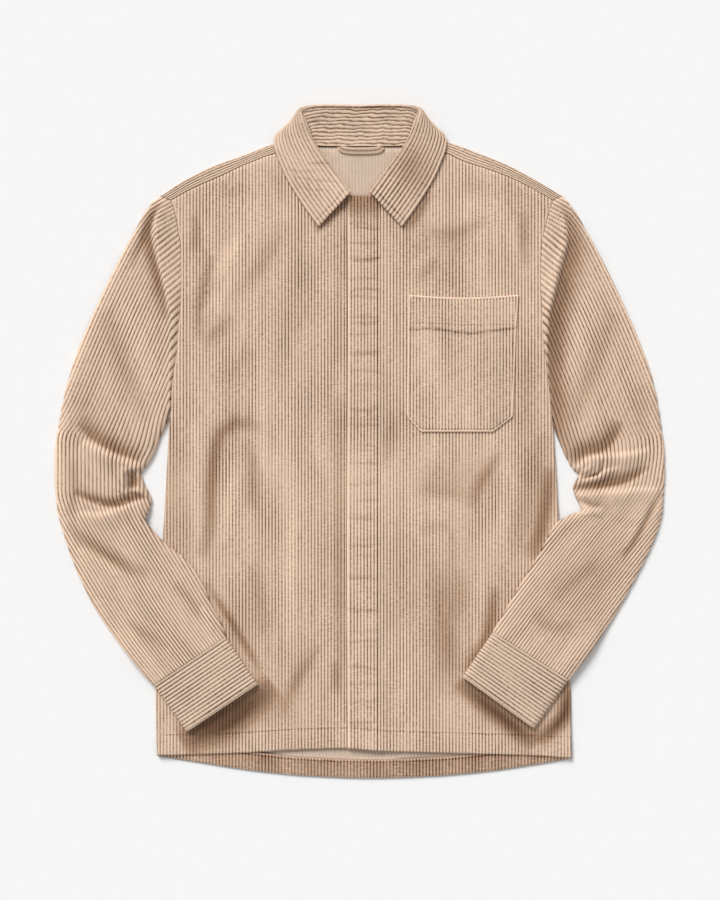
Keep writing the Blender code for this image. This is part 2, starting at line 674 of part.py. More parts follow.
class Sleeve:
    """Sections of one sleeve from armhole to cuff, read at any share of the way across."""

    def __init__(self, column, table, ridge, yoke, front):
        self.table = table
        self.sign = np.sign(table[0, 0])
        self.armhole = armhole_line(column, table, yoke[0, 2:])
        self.ridge = ridge
        self.column = column
        self.front = front

    def plan(self, shares):
        outer, inner = self.table[:, None, :2], self.table[:, None, 2:4]
        rows = outer + shares[None, :, None] * (inner - outer)
        head = [by_projection(line, shares, self.sign) for line in (self.armhole, self.ridge)]
        return np.concatenate([np.array(head), rows])

    def crowns(self, shares):
        """Height of the cloth's top above what the sleeve lies on."""
        seam_top = FRONT_UNDER + CLOTH
        rows = [np.full(len(shares), seam_top)]
        width = np.linalg.norm(np.subtract(self.ridge[0], self.ridge[-1]))
        rows.append(heights_across(shares, width, (CAP_RIDGE_HEIGHT,) * 3))
        for row in self.table:
            width = np.linalg.norm(row[:2] - row[2:4])
            rows.append(heights_across(shares, width, row[4:7]))
        return np.array(rows)

    def on_ground(self, shares):
        plan = self.plan(shares)
        return plan, ground(plan[..., 0], plan[..., 1], self.column, self.front)


def make_sleeve(name, sleeve):
    """A flattened tube, open at both ends, its top ribbed along the arm."""
    shares = np.linspace(0, 1, 2 * SLEEVE_WALES + 1)
    plan, floor = sleeve.on_ground(shares)
    top = np.dstack([plan, floor + sleeve.crowns(shares) + wale_columns(SLEEVE_WALES)])

    under_shares = np.array(SLEEVE_UNDER_SHARES)[::-1]
    plan, floor = sleeve.on_ground(under_shares)
    under = np.dstack([plan, floor])

    lining_shares = np.array(SLEEVE_LINING_SHARES)
    plan, floor = sleeve.on_ground(lining_shares)
    bottom = floor + CLOTH
    roof = np.minimum(floor + sleeve.crowns(lining_shares) - CLOTH, bottom + SLEEVE_HOLLOW)
    roof = np.maximum(roof, bottom + SEAM)
    roof_points = np.dstack([plan, roof])
    bottom_points = np.dstack([plan, bottom])[:, ::-1]

    surface = Surface()
    outside = surface.ring_grid(np.concatenate([top, under], axis=1))
    inside = surface.ring_grid(np.concatenate([roof_points, bottom_points], axis=1))
    across, below = len(shares), len(lining_shares)
    for end in (0, -1):
        out_top, out_under = outside[end][:across], outside[end][across:]
        in_top, in_under = inside[end][:below], inside[end][below:]
        surface.join(out_top, in_top)
        surface.join([out_top[-1], *out_under, out_top[0]], [in_top[-1], *in_under, in_top[0]])
    make_object(name, surface, CORD_COLOUR)


def make_cuff(name, table, end, column, front):
    """A flattened band, its wales running round the wrist."""
    start = np.array([table[-1, :2], table[-1, 2:4]])
    end = np.array(end)
    gap = SEAM * unit(end - start)
    rings = 2 * CUFF_WALES + 1
    way = np.linspace(0, 1, rings)[:, None, None]
    corners = (start + gap) + way * (end - start - gap)
    ribs = wale_columns(CUFF_WALES)[:, None]
    width = np.linalg.norm(start[0] - start[1])

    def plan(across):
        return corners[:, :1] + across[None, :, None] * (corners[:, 1:] - corners[:, :1])

    def lie(points):
        return ground(points[..., 0], points[..., 1], column, front)

    places = plan(CUFF_TOP_SHARES)
    crown = heights_across(CUFF_TOP_SHARES, width, (CUFF_HEIGHT,) * 3)[None, :]
    top = np.dstack([places, lie(places) + crown + ribs])
    places = plan(CUFF_UNDER_SHARES)
    under = np.dstack([places, lie(places)])
    surface = Surface()
    outside = surface.ring_grid(np.concatenate([top, under], axis=1))

    places = plan(CUFF_LINING_SHARES)[[0, -1]]
    bottom = lie(places) + CLOTH
    roof = lie(places) + heights_across(CUFF_LINING_SHARES, width, (CUFF_HEIGHT,) * 3) - CLOTH
    roof = np.maximum(np.minimum(roof, bottom + SLEEVE_HOLLOW), bottom + SEAM)
    inside = surface.ring_grid(np.concatenate(
        [np.dstack([places, roof]), np.dstack([places, bottom])[:, ::-1]], axis=1))
    across, below = len(CUFF_TOP_SHARES), len(CUFF_LINING_SHARES)
    for ring in (0, -1):
        out_top, out_under = outside[ring][:across], outside[ring][across:]
        in_top, in_under = inside[ring][:below], inside[ring][below:]
        surface.join(out_top, in_top)
        surface.join([out_top[-1], *out_under, out_top[0]], [in_top[-1], *in_under, in_top[0]])
    make_object(name, surface, CUFF_COLOUR)


for old in list(bpy.data.objects):
    bpy.data.objects.remove(old, do_unlink=True)
jacket = bpy.data.collections.new("shacket")
bpy.context.scene.collection.children.link(jacket)

right_front = Front(
    UNDERLAP_EDGE, BODY_ROWS[:, 1], FRONT_TOP_RIGHT, LOFT_RIGHT, UNDERLAP_EDGE - PLACKET_LEFT
)
left_front = Front(PLACKET_RIGHT, BODY_ROWS[:, 2], FRONT_TOP_LEFT, LOFT_LEFT, 0.0)

make_back()
make_front("front_right", right_front)
make_front("front_left", left_front)
make_placket()
make_pocket(left_front)
make_yoke("shoulder_yoke_right", YOKE_RIGHT)
make_yoke("shoulder_yoke_left", YOKE_LEFT)
make_collar()
make_loop()
make_sleeve("sleeve_right", Sleeve(1, SLEEVE_RIGHT, CAP_RIDGE_RIGHT, YOKE_RIGHT, right_front))
make_sleeve("sleeve_left", Sleeve(2, SLEEVE_LEFT, CAP_RIDGE_LEFT, YOKE_LEFT, left_front))
make_cuff("cuff_right", SLEEVE_RIGHT, CUFF_RIGHT_END, 1, right_front)
make_cuff("cuff_left", SLEEVE_LEFT, CUFF_LEFT_END, 2, left_front)
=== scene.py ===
import bmesh
import bpy
import numpy as np
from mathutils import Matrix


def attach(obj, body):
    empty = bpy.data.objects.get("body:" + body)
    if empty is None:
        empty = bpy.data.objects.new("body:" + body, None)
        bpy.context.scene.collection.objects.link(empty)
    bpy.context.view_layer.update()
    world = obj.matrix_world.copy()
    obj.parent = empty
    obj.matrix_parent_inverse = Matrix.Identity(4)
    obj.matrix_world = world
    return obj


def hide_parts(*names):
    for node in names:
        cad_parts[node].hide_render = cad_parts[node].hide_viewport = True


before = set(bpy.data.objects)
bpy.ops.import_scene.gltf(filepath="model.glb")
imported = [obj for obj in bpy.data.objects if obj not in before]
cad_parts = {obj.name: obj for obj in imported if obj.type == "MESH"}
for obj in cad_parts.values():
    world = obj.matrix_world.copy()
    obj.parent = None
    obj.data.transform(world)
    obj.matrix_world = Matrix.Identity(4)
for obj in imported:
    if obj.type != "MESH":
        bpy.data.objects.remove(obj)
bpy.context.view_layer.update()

# Looks of a corduroy shirt jacket laid flat. Sizes are in millimetres and in the frame's axes:
# +Z is up from the floor, +Y runs from the hem to the collar and +X is the picture's right.
MM = 0.001

# Cloth
PITCH = 4.1
WALE = 0.95
CLOTH = 1.5
SEAM = 0.35
COLUMNS_A_WALE = 6
ROW = 3.6
HEM_ROW = 1.6

# Thread
STITCH = 2.3
STITCH_STEP = 3.2
THREAD = 0.28

# Rows of stitches by distance from the edge, and the painted shade line and painted highlight line
# beside the hem's
HEM_STITCH = 26.0
HEM_DARK = 25.4
HEM_PALE = 28.0
HEM_TURN = 27.0
LEAF_STITCH = 7.5
CUFF_STITCH = 4.5

# Layers of the body
BACK_TOP = 2.0
FRONT_UNDER = 2.3
PLACKET_UNDER = 4.2
PLACKET_CLOTH = 2.3
HEM_BAND_TOP = 3.1
HEM_BAND_WIDTH = 23.5

# Outlines of the body: x of each side by y
SIDE_RIGHT = [
    (-391.9, -252.8), (-310.6, -254.6), (-223.1, -251.2), (-93.0, -243.9), (20.0, -237.6),
    (67.8, -235.0), (106.3, -229.0), (164.4, -224.4), (199.4, -222.6), (240.6, -223.1),
    (262.6, -226.0), (284.4, -229.8), (301.2, -235.6),
]
SIDE_LEFT = [
    (-391.9, 264.4), (-310.6, 263.5), (-223.1, 258.1), (-93.0, 248.8), (20.0, 241.4),
    (67.8, 236.6), (113.4, 231.4), (160.6, 228.2), (208.1, 226.2), (240.6, 227.0),
    (265.0, 231.0), (284.4, 236.2), (301.2, 241.4),
]
FRONT_HEM = [
    (-252.8, -391.9), (-169.4, -389.6), (-126.9, -387.5), (-74.4, -384.4), (-15.6, -382.9),
    (26.9, -386.2), (83.1, -388.1), (150.6, -390.0), (215.6, -391.9), (264.4, -395.0),
]
BACK_HEM = [
    (-252.8, -392.6), (-206.9, -399.4), (-159.4, -407.1), (-124.4, -411.9), (-63.1, -417.5),
    (9.4, -420.3), (83.1, -418.2), (150.6, -412.8), (223.1, -402.5), (264.4, -395.6),
]
FRONT_TOP_RIGHT = [
    (-235.6, 301.2), (-206.9, 316.6), (-174.6, 330.8), (-142.2, 345.9), (-107.6, 358.9),
    (-93.0, 362.6), (-71.5, 362.6), (-67.0, 349.0), (-57.0, 333.4), (-38.5, 313.6),
    (-16.0, 304.5), (14.0, 303.0),
]
FRONT_TOP_LEFT = [
    (26.2, 305.5), (40.5, 313.6), (59.0, 333.4), (69.0, 349.0), (73.5, 362.6),
    (95.0, 362.6), (107.5, 360.2), (126.6, 351.1), (168.8, 337.1), (203.1, 322.5),
    (241.4, 301.2),
]
BACK_TOP_EDGE = [
    (-235.6, 301.2), (-206.9, 316.6), (-174.6, 330.8), (-142.2, 345.9), (-107.6, 358.9),
    (-93.0, 362.6), (-71.5, 362.6), (-69.0, 367.4), (-59.5, 369.7), (-26.0, 369.0),
    (1.0, 368.8), (28.0, 369.0), (61.5, 369.7), (71.0, 367.4), (73.5, 362.6), (95.0, 362.6),
    (107.5, 360.2), (126.6, 351.1), (168.8, 337.1), (203.1, 322.5), (241.4, 301.2),
]
# The turned-up hem of the back lifts the fronts over it: lift by y
HEM_LIFT = [(-391.9, 2.0), (-355.0, 0.9), (-310.6, 0.2), (-223.1, 0.0), (301.2, 0.0)]

# How far each front stands off the back: by y, then at these shares from placket to side
LOFT_SHARES = (0.0, 0.15, 0.35, 0.6, 0.85, 1.0)
LOFT_RIGHT = [
    # y, then the loft at each share
    (-391.9, 0.0, 0.0, 0.0, 0.0, 0.0, 0.0),
    (-310.6, 0.0, 0.2, 0.9, 0.0, 0.0, 0.0),
    (-223.1, 0.0, 0.4, 0.4, 0.0, 0.0, 0.0),
    (-93.0, 0.0, 0.3, 1.8, 0.9, 0.1, 0.0),
    (36.9, 0.0, 0.6, 1.2, 2.0, 0.6, 0.0),
    (183.1, 0.0, 0.5, 1.8, 2.2, 0.8, 0.0),
    (240.6, 0.0, 0.4, 1.0, 1.8, 0.4, 0.0),
    (284.4, 0.0, 0.0, 0.3, 1.0, 0.6, 0.0),
    (301.2, 0.0, 0.0, 0.0, 0.0, 0.0, 0.0),
]
LOFT_LEFT = [
    (-391.9, 0.0, 0.0, 0.0, 0.0, 0.0, 0.0),
    (-310.6, 0.0, 0.4, 0.5, 0.0, 0.0, 0.0),
    (-223.1, 0.0, 0.2, 1.0, 0.0, 0.0, 0.0),
    (-93.0, 0.0, 0.5, 1.0, 0.8, 0.1, 0.0),
    (36.9, 0.0, 0.6, 1.0, 1.4, 0.4, 0.0),
    (183.1, 0.0, 0.8, 1.0, 1.8, 0.3, 0.0),
    (240.6, 0.0, 0.3, 1.4, 1.6, 0.2, 0.0),
    (284.4, 0.0, 0.0, 0.6, 1.0, 0.4, 0.0),
    (301.2, 0.0, 0.0, 0.0, 0.0, 0.0, 0.0),
]

# Soft creases of the fronts, also in painted shade where sunken and painted light where raised: points
# along each, half-width, height above the cloth
CREASES_RIGHT = [
    ((-181, 233), (-192, 200), (-199, 171), (-202.5, 127), 8, -1.2),
    ((-143, 258), (-165, 228), (-182, 200), 9, 0.9),
    ((-93, 277), (-112, 233), (-140, 200), (-168, 177), 10, -0.7),
    ((-158, 160), (-180, 133), (-196, 118), 9, -1.0),
    ((-150, 210), (-176, 176), (-200, 156), 7, 0.7),
    ((-120, 120), (-150, 96), (-176, 70), 10, -0.4),
    ((-118, 14), (-149, 24), (-174, 8), (-184, -36), (-188, -111), (-196, -148), 9, -1.9),
    ((-137, 2), (-134, -40), (-134, -86), 8, -1.0),
    ((-159, -20), (-160, -70), (-162, -123), 9, 0.9),
    ((-131, -148), (-124, -200), (-118, -248), 10, -0.6),
    ((-81, -60), (-84, -140), (-93, -248), 10, 0.7),
    ((-25, 60), (-25, -60), (-25, -180), (-25, -320), 8, -0.8),
    ((-25, 280), (-25, 180), (-25, 90), 7, -0.6),
    ((-49, -254), (-81, -304), (-99, -348), 8, -1.1),
    ((-31, -272), (-29, -295), (-28, -318), 6, -1.0),
    ((-208, 284), (-203, 262), (-206, 236), 7, -0.9),
    ((-196, 286), (-191, 262), (-190, 240), 6, 0.7),
    ((-182, 322), (-160, 312), (-140, 318), 9, -0.5),
    ((-118, 340), (-100, 318), (-96, 292), 9, -0.5),
]
CREASES_LEFT = [
    ((76, 264), (113, 258), (163, 277), 9, -1.0),
    ((69, 196), (84, 212), (100, 227), 7, -0.7),
    ((64, 214), (80, 228), (96, 240), 6, 0.5),
    ((204, 289), (205, 250), (207, 214), 7, -1.0),
    ((192, 282), (189, 256), (190, 232), 6, 0.6),
    ((176, -11), (151, -54), (138, -86), 8, -1.2),
    ((69, -61), (105, -64), (140, -68), 8, -0.6),
    ((76, -112), (96, -107), (114, -104), 7, -0.5),
    ((94, -148), (101, -200), (107, -248), (114, -290), 16, -0.7),
    ((128, -160), (127, -190), (125, -222), 8, -0.6),
    ((180, -60), (172, -110), (160, -150), 12, 0.6),
    ((44, 39), (38, 0), (32, -36), 8, -0.6),
    ((215, 120), (209, 60), (207, 0), 12, -0.4),
    ((60, -230), (56, -290), (52, -345), 10, 0.5),
    ((160, 322), (140, 316), (122, 326), 9, -0.5),
]
# Painted shadow on the fronts beside the cuffs, forearms and collar points, where real light on
# such thin cloth casts too little of it: the same columns, tone without height
SHADOWS_RIGHT = [
    ((-224, -376), (-164, -347), (-106, -303), 19, -4.8),
    ((-193, -173), (-160, -225), (-122, -288), 5, -1.7),
    ((-56, 262), (-36, 286), (-14, 304), 8, -2.4),
    ((-234, 30), (-230, -60), (-224, -150), 17, -0.6),
    ((-160, -190), (-160, -250), (-150, -310), 22, -0.4),
]
SHADOWS_LEFT = [
    ((169, -180), (161, -236), (130, -290), 8, -2.0),
    ((238, -30), (232, -86), (215, -150), 9, -2.4),
    ((122, -298), (170, -338), (222, -378), 11, -4.0),
    ((262, -300), (256, -338), (222, -376), 9, -4.0),
    ((56, 262), (76, 288), (88, 316), 6, -1.8),
    ((226, 10), (216, -60), (200, -140), 18, -0.9),
    ((112, -90), (114, -200), (112, -320), 20, -0.6),
    ((60, -40), (110, -50), (170, -30), 24, -0.5),
    ((62, 236), (104, 244), (150, 240), 12, -0.4),
]
# Painted shade, or painted light where raised, for each mm of a crease's or shadow's height
CREASE_TONE = 0.24
HEM_SCALLOP = 1.5

# Placket
PLACKET_LEFT = -15.2
PLACKET_RIGHT = 26.2
PLACKET_TOP = 307.0
UNDERLAP_EDGE = 14.0
PLACKET_SLOPE = 32.0
PUCKERS = 44
PLACKET_STITCH_X = 22.8
PLACKET_STITCH_ENDS = (-354.0, 303.0)
PLACKET_WALES = 10

# Pocket
POCKET_ROWS = [
    # y, left x, right x
    (12.0, 77.0, 166.0),
    (31.0, 59.3, 191.0),
    (36.9, 58.9, 191.6),
    (143.5, 60.6, 195.6),
    (183.1, 61.4, 198.4),
]
POCKET_PITCH = 4.0
POCKET_WALES = 34
# y by share of the pocket's width
POCKET_BAND = [
    (0.0, 139.6), (0.21, 141.0), (0.45, 137.0), (0.58, 135.3), (0.75, 138.0), (1.0, 142.0),
]
POCKET_STITCH = [(0.0, 149.9), (0.3, 148.0), (0.58, 146.4), (1.0, 147.2)]
POCKET_SAG = 4.0
POCKET_GROOVE = 3.2
POCKET_INSET = 3.4
POCKET_CORNERS = [(79.0, 15.4), (164.0, 15.4)]

# Shoulder strips: seam x, y and fold x, y, armhole end first
YOKE_RIGHT = [
    (-235.6, 301.2, -249.4, 306.2), (-206.9, 316.6, -214.4, 328.1),
    (-174.6, 330.8, -178.1, 345.6), (-142.2, 345.9, -141.9, 358.4),
    (-107.6, 358.9, -109.4, 371.0), (-93.0, 362.6, -93.9, 375.0),
    (-71.5, 362.6, -71.5, 375.0),
]
YOKE_LEFT = [
    (241.4, 301.2, 253.1, 306.5), (203.1, 322.5, 222.2, 325.0),
    (168.8, 337.1, 184.0, 345.6), (126.6, 351.1, 146.9, 360.6),
    (107.5, 360.2, 108.8, 374.0), (95.0, 362.6, 96.0, 376.4),
    (73.5, 362.6, 73.5, 375.4),
]
YOKE_WALES = 4
YOKE_RIBBED_SHARE = 0.86
YOKE_FOLD = [(0.93, 3.75), (0.97, 3.3), (1.0, 2.2), (0.985, 1.2), (0.95, 0.5), (0.9, 0.1)]
YOKE_INSIDE = [(0.0, 0.1), (0.0, 1.9), (0.8, 1.9), (0.8, 2.2), (0.0, 2.2)]

# Collar, by station from the front edge to the middle of the back, as distances from its middle
COLLAR_MIDDLE = 1.0
COLLAR_STATIONS = np.array([
    # neck seam x, y, z; roll x, y, z; leaf edge x, y, z; lean of the roll in degrees; its radius
    (14.0, 306.5, 7.6, 13.5, 308.0, 11.5, 52.0, 267.4, 7.6, 0, 2.4),
    (38.0, 315.6, 4.2, 30.0, 331.0, 7.4, 72.5, 295.9, 6.6, 0, 2.4),
    (56.0, 335.0, 4.0, 44.4, 350.1, 7.6, 91.2, 326.1, 6.9, 0, 2.4),
    (64.5, 350.0, 4.0, 53.8, 363.1, 8.2, 101.9, 350.1, 6.9, 10, 2.4),
    (67.0, 363.0, 4.0, 62.5, 378.1, 9.6, 107.5, 366.9, 6.8, 50, 2.4),
    (64.0, 369.5, 3.6, 69.7, 398.1, 13.5, 106.2, 380.6, 4.4, 70, 2.4),
    (60.5, 369.9, 3.0, 75.0, 411.8, 13.4, 88.5, 393.1, 1.4, 70, 2.8),
    (49.0, 369.4, 2.4, 58.5, 416.5, 12.0, 62.5, 393.1, 0.9, 170, 2.4),
    (27.0, 369.2, 2.2, 30.0, 417.3, 11.5, 31.2, 391.9, 0.9, 180, 2.4),
    (0.0, 369.0, 2.2, 0.0, 416.6, 11.5, 0.0, 390.6, 0.9, 180, 2.4),
])
STEPS_A_STATION = 13
STAND_FROM = 2
STAND_WALES = 10
# Painted shade of the left leaf's crinkles, which have no height: points along each, half-width, depth
LEAF_CREASES = [
    ((-65, 346), (-50, 347), (-34, 346), 1.1, -0.7),
    ((-93, 340), (-76, 337), (-46, 338), 1.0, -0.4),
    ((-86, 329), (-52, 326), (-18, 322), 1.0, -0.45),
    ((-78, 318), (-56, 313), (-30, 314), 1.0, -0.35),
    ((-84, 342), (-80, 332), (-79, 320), 1.0, -0.35),
    ((-66, 338), (-64, 322), (-60, 300), 1.0, -0.4),
    ((-53, 332), (-50, 312), (-47, 290), 1.0, -0.35),
]
STAND_SAG = 1.3
LEAF_SCALLOP = 1.5
ROLL_GAP = -0.1
LEAF_WALES = 12
ROLL_POINTS = 9
ROLL_FULLNESS = 2.2
POINTS_A_WALE = 8

# Hanger loop: middle line and section
LOOP_LINE = [
    (-24.3, 368.6, 3.6), (-22.8, 366.0, 3.6), (-17.5, 363.9, 3.6), (-6.0, 362.8, 3.8),
    (8.0, 362.8, 3.8), (20.5, 363.6, 3.6), (25.8, 365.6, 3.6), (27.6, 368.4, 3.6),
]
LOOP_WIDTH = 8.4
LOOP_HEIGHT = 2.2

# Sleeves: outer edge and inner edge of each section, armhole to cuff
SLEEVE_RIGHT = [
    # outer x, y; inner x, y
    (-281.0, 262.0, -238.4, 30.0), (-307.0, 214.0, -240.5, 24.0),
    (-331.0, 164.0, -244.5, 16.0), (-351.5, 114.0, -248.5, 7.0),
    (-366.5, 64.0, -252.0, -2.0), (-376.3, 14.0, -258.0, -17.0),
    (-380.0, -14.0, -266.0, -30.0), (-380.6, -36.0, -273.1, -39.4),
    (-380.2, -48.0, -270.0, -51.0), (-379.4, -60.6, -263.5, -64.0),
    (-378.3, -73.0, -260.2, -73.0), (-376.9, -85.6, -261.5, -82.0),
    (-374.4, -98.0, -265.0, -90.0), (-370.6, -110.6, -266.9, -97.0),
    (-362.5, -136.0, -258.1, -110.6), (-353.1, -160.6, -243.0, -127.0),
    (-341.5, -186.0, -222.0, -143.0), (-328.1, -210.6, -205.0, -162.0),
    (-311.5, -236.0, -192.8, -184.0), (-293.1, -260.6, -184.0, -206.0),
    (-275.0, -282.5, -173.0, -226.0), (-256.3, -303.8, -166.9, -243.8),
]
SLEEVE_LEFT = [
    (285.0, 260.0, 242.6, 20.0), (309.0, 215.0, 244.5, 14.0),
    (331.5, 167.0, 246.5, 8.0), (352.0, 117.0, 249.0, 1.0),
    (368.0, 67.0, 253.0, -9.0), (376.8, 14.0, 258.5, -20.0),
    (380.0, -14.0, 266.5, -33.5), (380.6, -36.0, 274.4, -41.4),
    (380.2, -48.0, 270.5, -49.0), (379.4, -60.6, 267.1, -58.0),
    (378.9, -73.0, 269.0, -66.5), (378.1, -85.6, 274.0, -76.5),
    (375.5, -98.0, 277.5, -86.0), (371.9, -110.6, 264.0, -91.1),
    (361.5, -136.0, 250.6, -98.4), (349.4, -160.6, 240.6, -109.4),
    (336.0, -186.0, 230.0, -130.0), (321.9, -210.6, 218.0, -151.0),
    (306.0, -236.0, 204.5, -172.5), (289.4, -260.6, 191.0, -195.0),
    (275.0, -279.5, 178.5, -217.0), (260.6, -297.2, 166.4, -237.4),
]
CAP_RIDGE_RIGHT = [
    (-263.1, 292.5), (-255.6, 270.0), (-251.9, 236.9), (-241.2, 189.4), (-235.0, 150.0),
    (-237.6, 90.0), (-237.4, 34.0),
]
CAP_RIDGE_LEFT = [
    (265.4, 291.9), (258.1, 262.0), (256.2, 236.9), (243.1, 189.4), (236.5, 150.0),
    (237.6, 90.0), (241.9, 25.0),
]
SLEEVE_HEIGHT = 7.6
EDGE_ROUNDING = 13.0
EDGE_HEIGHT = 1.8
SLEEVE_CLEARANCE = 0.5
SLEEVE_HOLLOW = 3.4
WALE_SLANT = 27.0
ARMPIT = {-1: 34.0, 1: 24.0}
RAMP_START = 56.0
RAMP_END = 22.0
RAMP_ROWS = (-70.0, -104.0)

# Line of the outermost wale of each sleeve: y, x
LEAD_RIGHT = [
    (310.0, -246.0), (292.0, -259.0), (262.0, -281.0), (214.0, -307.0), (164.0, -331.0),
    (114.0, -352.5), (64.0, -373.5), (14.0, -394.5), (-12.0, -403.5), (-30.0, -405.0),
    (-66.0, -405.0), (-84.0, -400.0), (-110.0, -386.5), (-160.0, -356.0), (-210.0, -325.5),
    (-260.0, -290.0), (-310.0, -250.0),
]
LEAD_LEFT = [
    (310.0, 249.0), (292.0, 262.0), (262.0, 284.0), (214.0, 309.0), (164.0, 333.0),
    (114.0, 354.5), (64.0, 374.5), (14.0, 393.5), (-6.0, 400.0), (-24.0, 401.0),
    (-54.0, 396.0), (-70.0, 387.0), (-110.0, 354.5), (-160.0, 315.0), (-210.0, 276.5),
    (-260.0, 240.0), (-310.0, 204.0),
]
SLEEVE_PITCH = 4.85
SLEEVE_COLUMNS = 216
ELBOW_TILT = {-1: 0.5, 1: 0.2}
CAP_TURN = 0.42

# Folds of the sleeves: points along the fold, half-width on its first and second side (above and
# below a line across, or right and left of one that runs down to the right), height
FOLDS_RIGHT = [
    ([(-345, 0), (-333, -7), (-314, -17.5), (-298, -25), (-286, -29.5), (-279, -37)], 3.0, 13, 6.0),
    ([(-352, 22), (-333, 4), (-313, -8), (-297, -15.5), (-284, -19.5), (-270, -26)], 14, 3, -4.4),
    ([(-291, -33), (-294, -44), (-293.5, -53), (-298, -64)], 9, 2.2, 4.2),
    ([(-286, -36), (-284.0, -47), (-285, -56), (-289.5, -65)], 3.0, 7, -6.5),
    ([(-283, -27), (-275.5, -36), (-273, -46)], 5, 5, 2.2),
    ([(-301, -66), (-293, -64), (-283, -60.5), (-272, -63), (-263, -71)], 4, 3, 4.2),
    ([(-356, -64), (-341, -71), (-324, -77.5), (-310, -80), (-298, -78.5), (-287, -74.5),
      (-275, -70.5), (-260, -70)], 7.5, 2.6, -5.6),
    ([(-352, -92), (-325, -93), (-308, -90), (-295, -85.5), (-284, -81.5), (-272, -79.5)],
     3.2, 16, 5.0),
    ([(-366, -108), (-340, -126), (-325, -136), (-300, -152), (-262, -170)], 9, 7, -3.0),
    ([(-352, -135), (-325, -152), (-296, -168)], 8, 10, 1.2),
    ([(-357, -24), (-354, -60), (-359, -94)], 6, 6, -1.9),
    ([(-350, 60), (-340, 20), (-345, -20)], 13, 12, -1.0),
    ([(-250, 291), (-255.3, 268.5), (-253.6, 249), (-249.5, 228), (-244.3, 205), (-238.5, 182),
      (-235, 160)], 7, 3, 2.2),
    ([(-246, 299), (-259, 278), (-262.5, 262), (-260.5, 245), (-256, 226), (-250.5, 203),
      (-245, 181), (-240, 150)], 3, 10, -4.4),
    ([(-250, 298), (-263, 268), (-273, 242), (-284, 212)], 6, 4, -2.4),
    ([(-320, 160), (-300, 110), (-282, 60), (-268, 20)], 13, 12, -1.6),
    ([(-300, 200), (-282, 150), (-266, 100), (-256, 60)], 12, 12, 1.2),
    ([(-232, -178), (-212, -196), (-196, -222)], 6, 6, -1.6),
    ([(-196, -206), (-188, -220), (-182, -236)], 4, 4, 1.6),
    ([(-290, -226), (-268, -240), (-240, -262)], 7, 6, -1.4),
]
FOLDS_LEFT = [
    ([(266, -29), (277, -17), (288, -13), (298, -11.5), (310, -4), (320, 8), (326, 24)],
     14, 5, -5.0),
    ([(268, -38), (280, -28), (290, -22), (306, -20), (325, -19), (345, -16), (366, -10)],
     3.4, 13, 4.8),
    ([(278, -47), (288, -43.8), (298, -40.5), (302.6, -33), (303.5, -22)], 2.4, 2, -3.6),
    ([(272, -43), (282, -37), (292, -29)], 3, 3, 2.0),
    ([(270, -52), (283, -48), (297, -45), (308, -38), (326, -33)], 2.6, 5, 3.4),
    ([(265, -59), (280, -58), (293, -57), (309, -55), (326, -52), (343, -45), (360, -32)],
     11, 3, -5.8),
    ([(262, -68), (292, -67), (308, -65), (326, -64.5), (348, -61.5), (374, -62)], 3.2, 15, 5.0),
    ([(270, -73), (282, -77.5), (292, -81), (302, -82)], 5, 2.6, -3.6),
    ([(272, -85), (288, -88), (304, -88)], 3, 10, 2.2),
    ([(377, -64), (360, -95), (345, -122), (328, -148)], 5, 4, -3.8),
    ([(364, -80), (348, -110), (330, -138)], 8, 6, 1.4),
    ([(300, -150), (270, -172), (236, -196)], 13, 12, -1.4),
    ([(250, 289), (258.5, 255), (250.8, 231), (242.5, 195), (236.5, 162)], 7, 3, 2.2),
    ([(250, 300), (262, 268), (264.5, 252), (259.5, 228), (251.5, 196), (244, 165), (239, 130),
      (239, 90), (243, 30), (248, -30)], 5, 19, -5.6),
    ([(345, -100), (290, -180), (225, -245)], 34, 34, -0.8),
    ([(320, 160), (300, 110), (282, 60), (268, 20)], 13, 12, -1.6),
    ([(300, 200), (282, 150), (266, 100), (256, 60)], 12, 12, 1.2),
    ([(350, 70), (352, 30), (348, 4)], 13, 12, -1.0),
    ([(270, -230), (244, -234), (214, -214)], 8, 8, -1.3),
]
# Painted shade in a fold's trough, or painted light on its crest, for each mm of its height
FOLD_TONE = 0.12

# Cuffs: the two corners at the hand
CUFF_RIGHT_END = [(-215.6, -361.9), (-126.9, -302.5)]
CUFF_LEFT_END = [(217.9, -358.1), (128.0, -293.1)]
CUFF_WALES = 16
CUFF_HEIGHT = 6.6
CUFF_ROUNDING = 9.0
CUFF_COLUMNS = 70
CUFF_WALE = 1.25

# Colours: the cloth's colour is multiplied by these along its painted shade
SHADE_COLOURS = [
    (0.0, (1.16, 1.15, 1.14)), (0.2, (1, 1, 1)), (0.52, (0.61, 0.525, 0.455)),
    (1.0, (0.22, 0.162, 0.128)),
]

# In metres: spacing of the inside's fine lines, half the floor's side, and how far it lies below
INSIDE_LINES = 0.0041
FLOOR_HALF = 30.0
FLOOR_DROP = 0.0004


def slopes(x, values):
    """Slopes at the rows of a table that keep a curve through them free of overshoot."""
    step = np.diff(x)[:, None]
    chord = np.diff(values, axis=0) / step
    before, after = chord[:-1], chord[1:]
    same = before * after > 0
    total = np.where(same, before + after, 1)
    inside = np.where(same, 2 * before * after / total, 0)
    return np.concatenate([chord[:1], inside, chord[-1:]])


def curve(table, at):
    """Smooth values at the given places from rows of a place and its values."""
    table = np.asarray(table, float)
    x, values = table[:, 0], table[:, 1:]
    if x[0] > x[-1]:
        x, values = x[::-1], values[::-1]
    at = np.clip(at, x[0], x[-1])
    slope = slopes(x, values)
    i = np.clip(np.searchsorted(x, at, side="right") - 1, 0, len(x) - 2)
    width = (x[i + 1] - x[i])[..., None]
    share = (at - x[i])[..., None] / width
    result = (
        values[i] * (1 + 2 * share) * (1 - share) ** 2
        + slope[i] * width * share * (1 - share) ** 2
        + values[i + 1] * share**2 * (3 - 2 * share)
        + slope[i + 1] * width * share**2 * (share - 1)
    )
    return result[..., 0] if result.shape[-1] == 1 else result


def smoothstep(share):
    share = np.clip(share, 0, 1)
    return share * share * (3 - 2 * share)


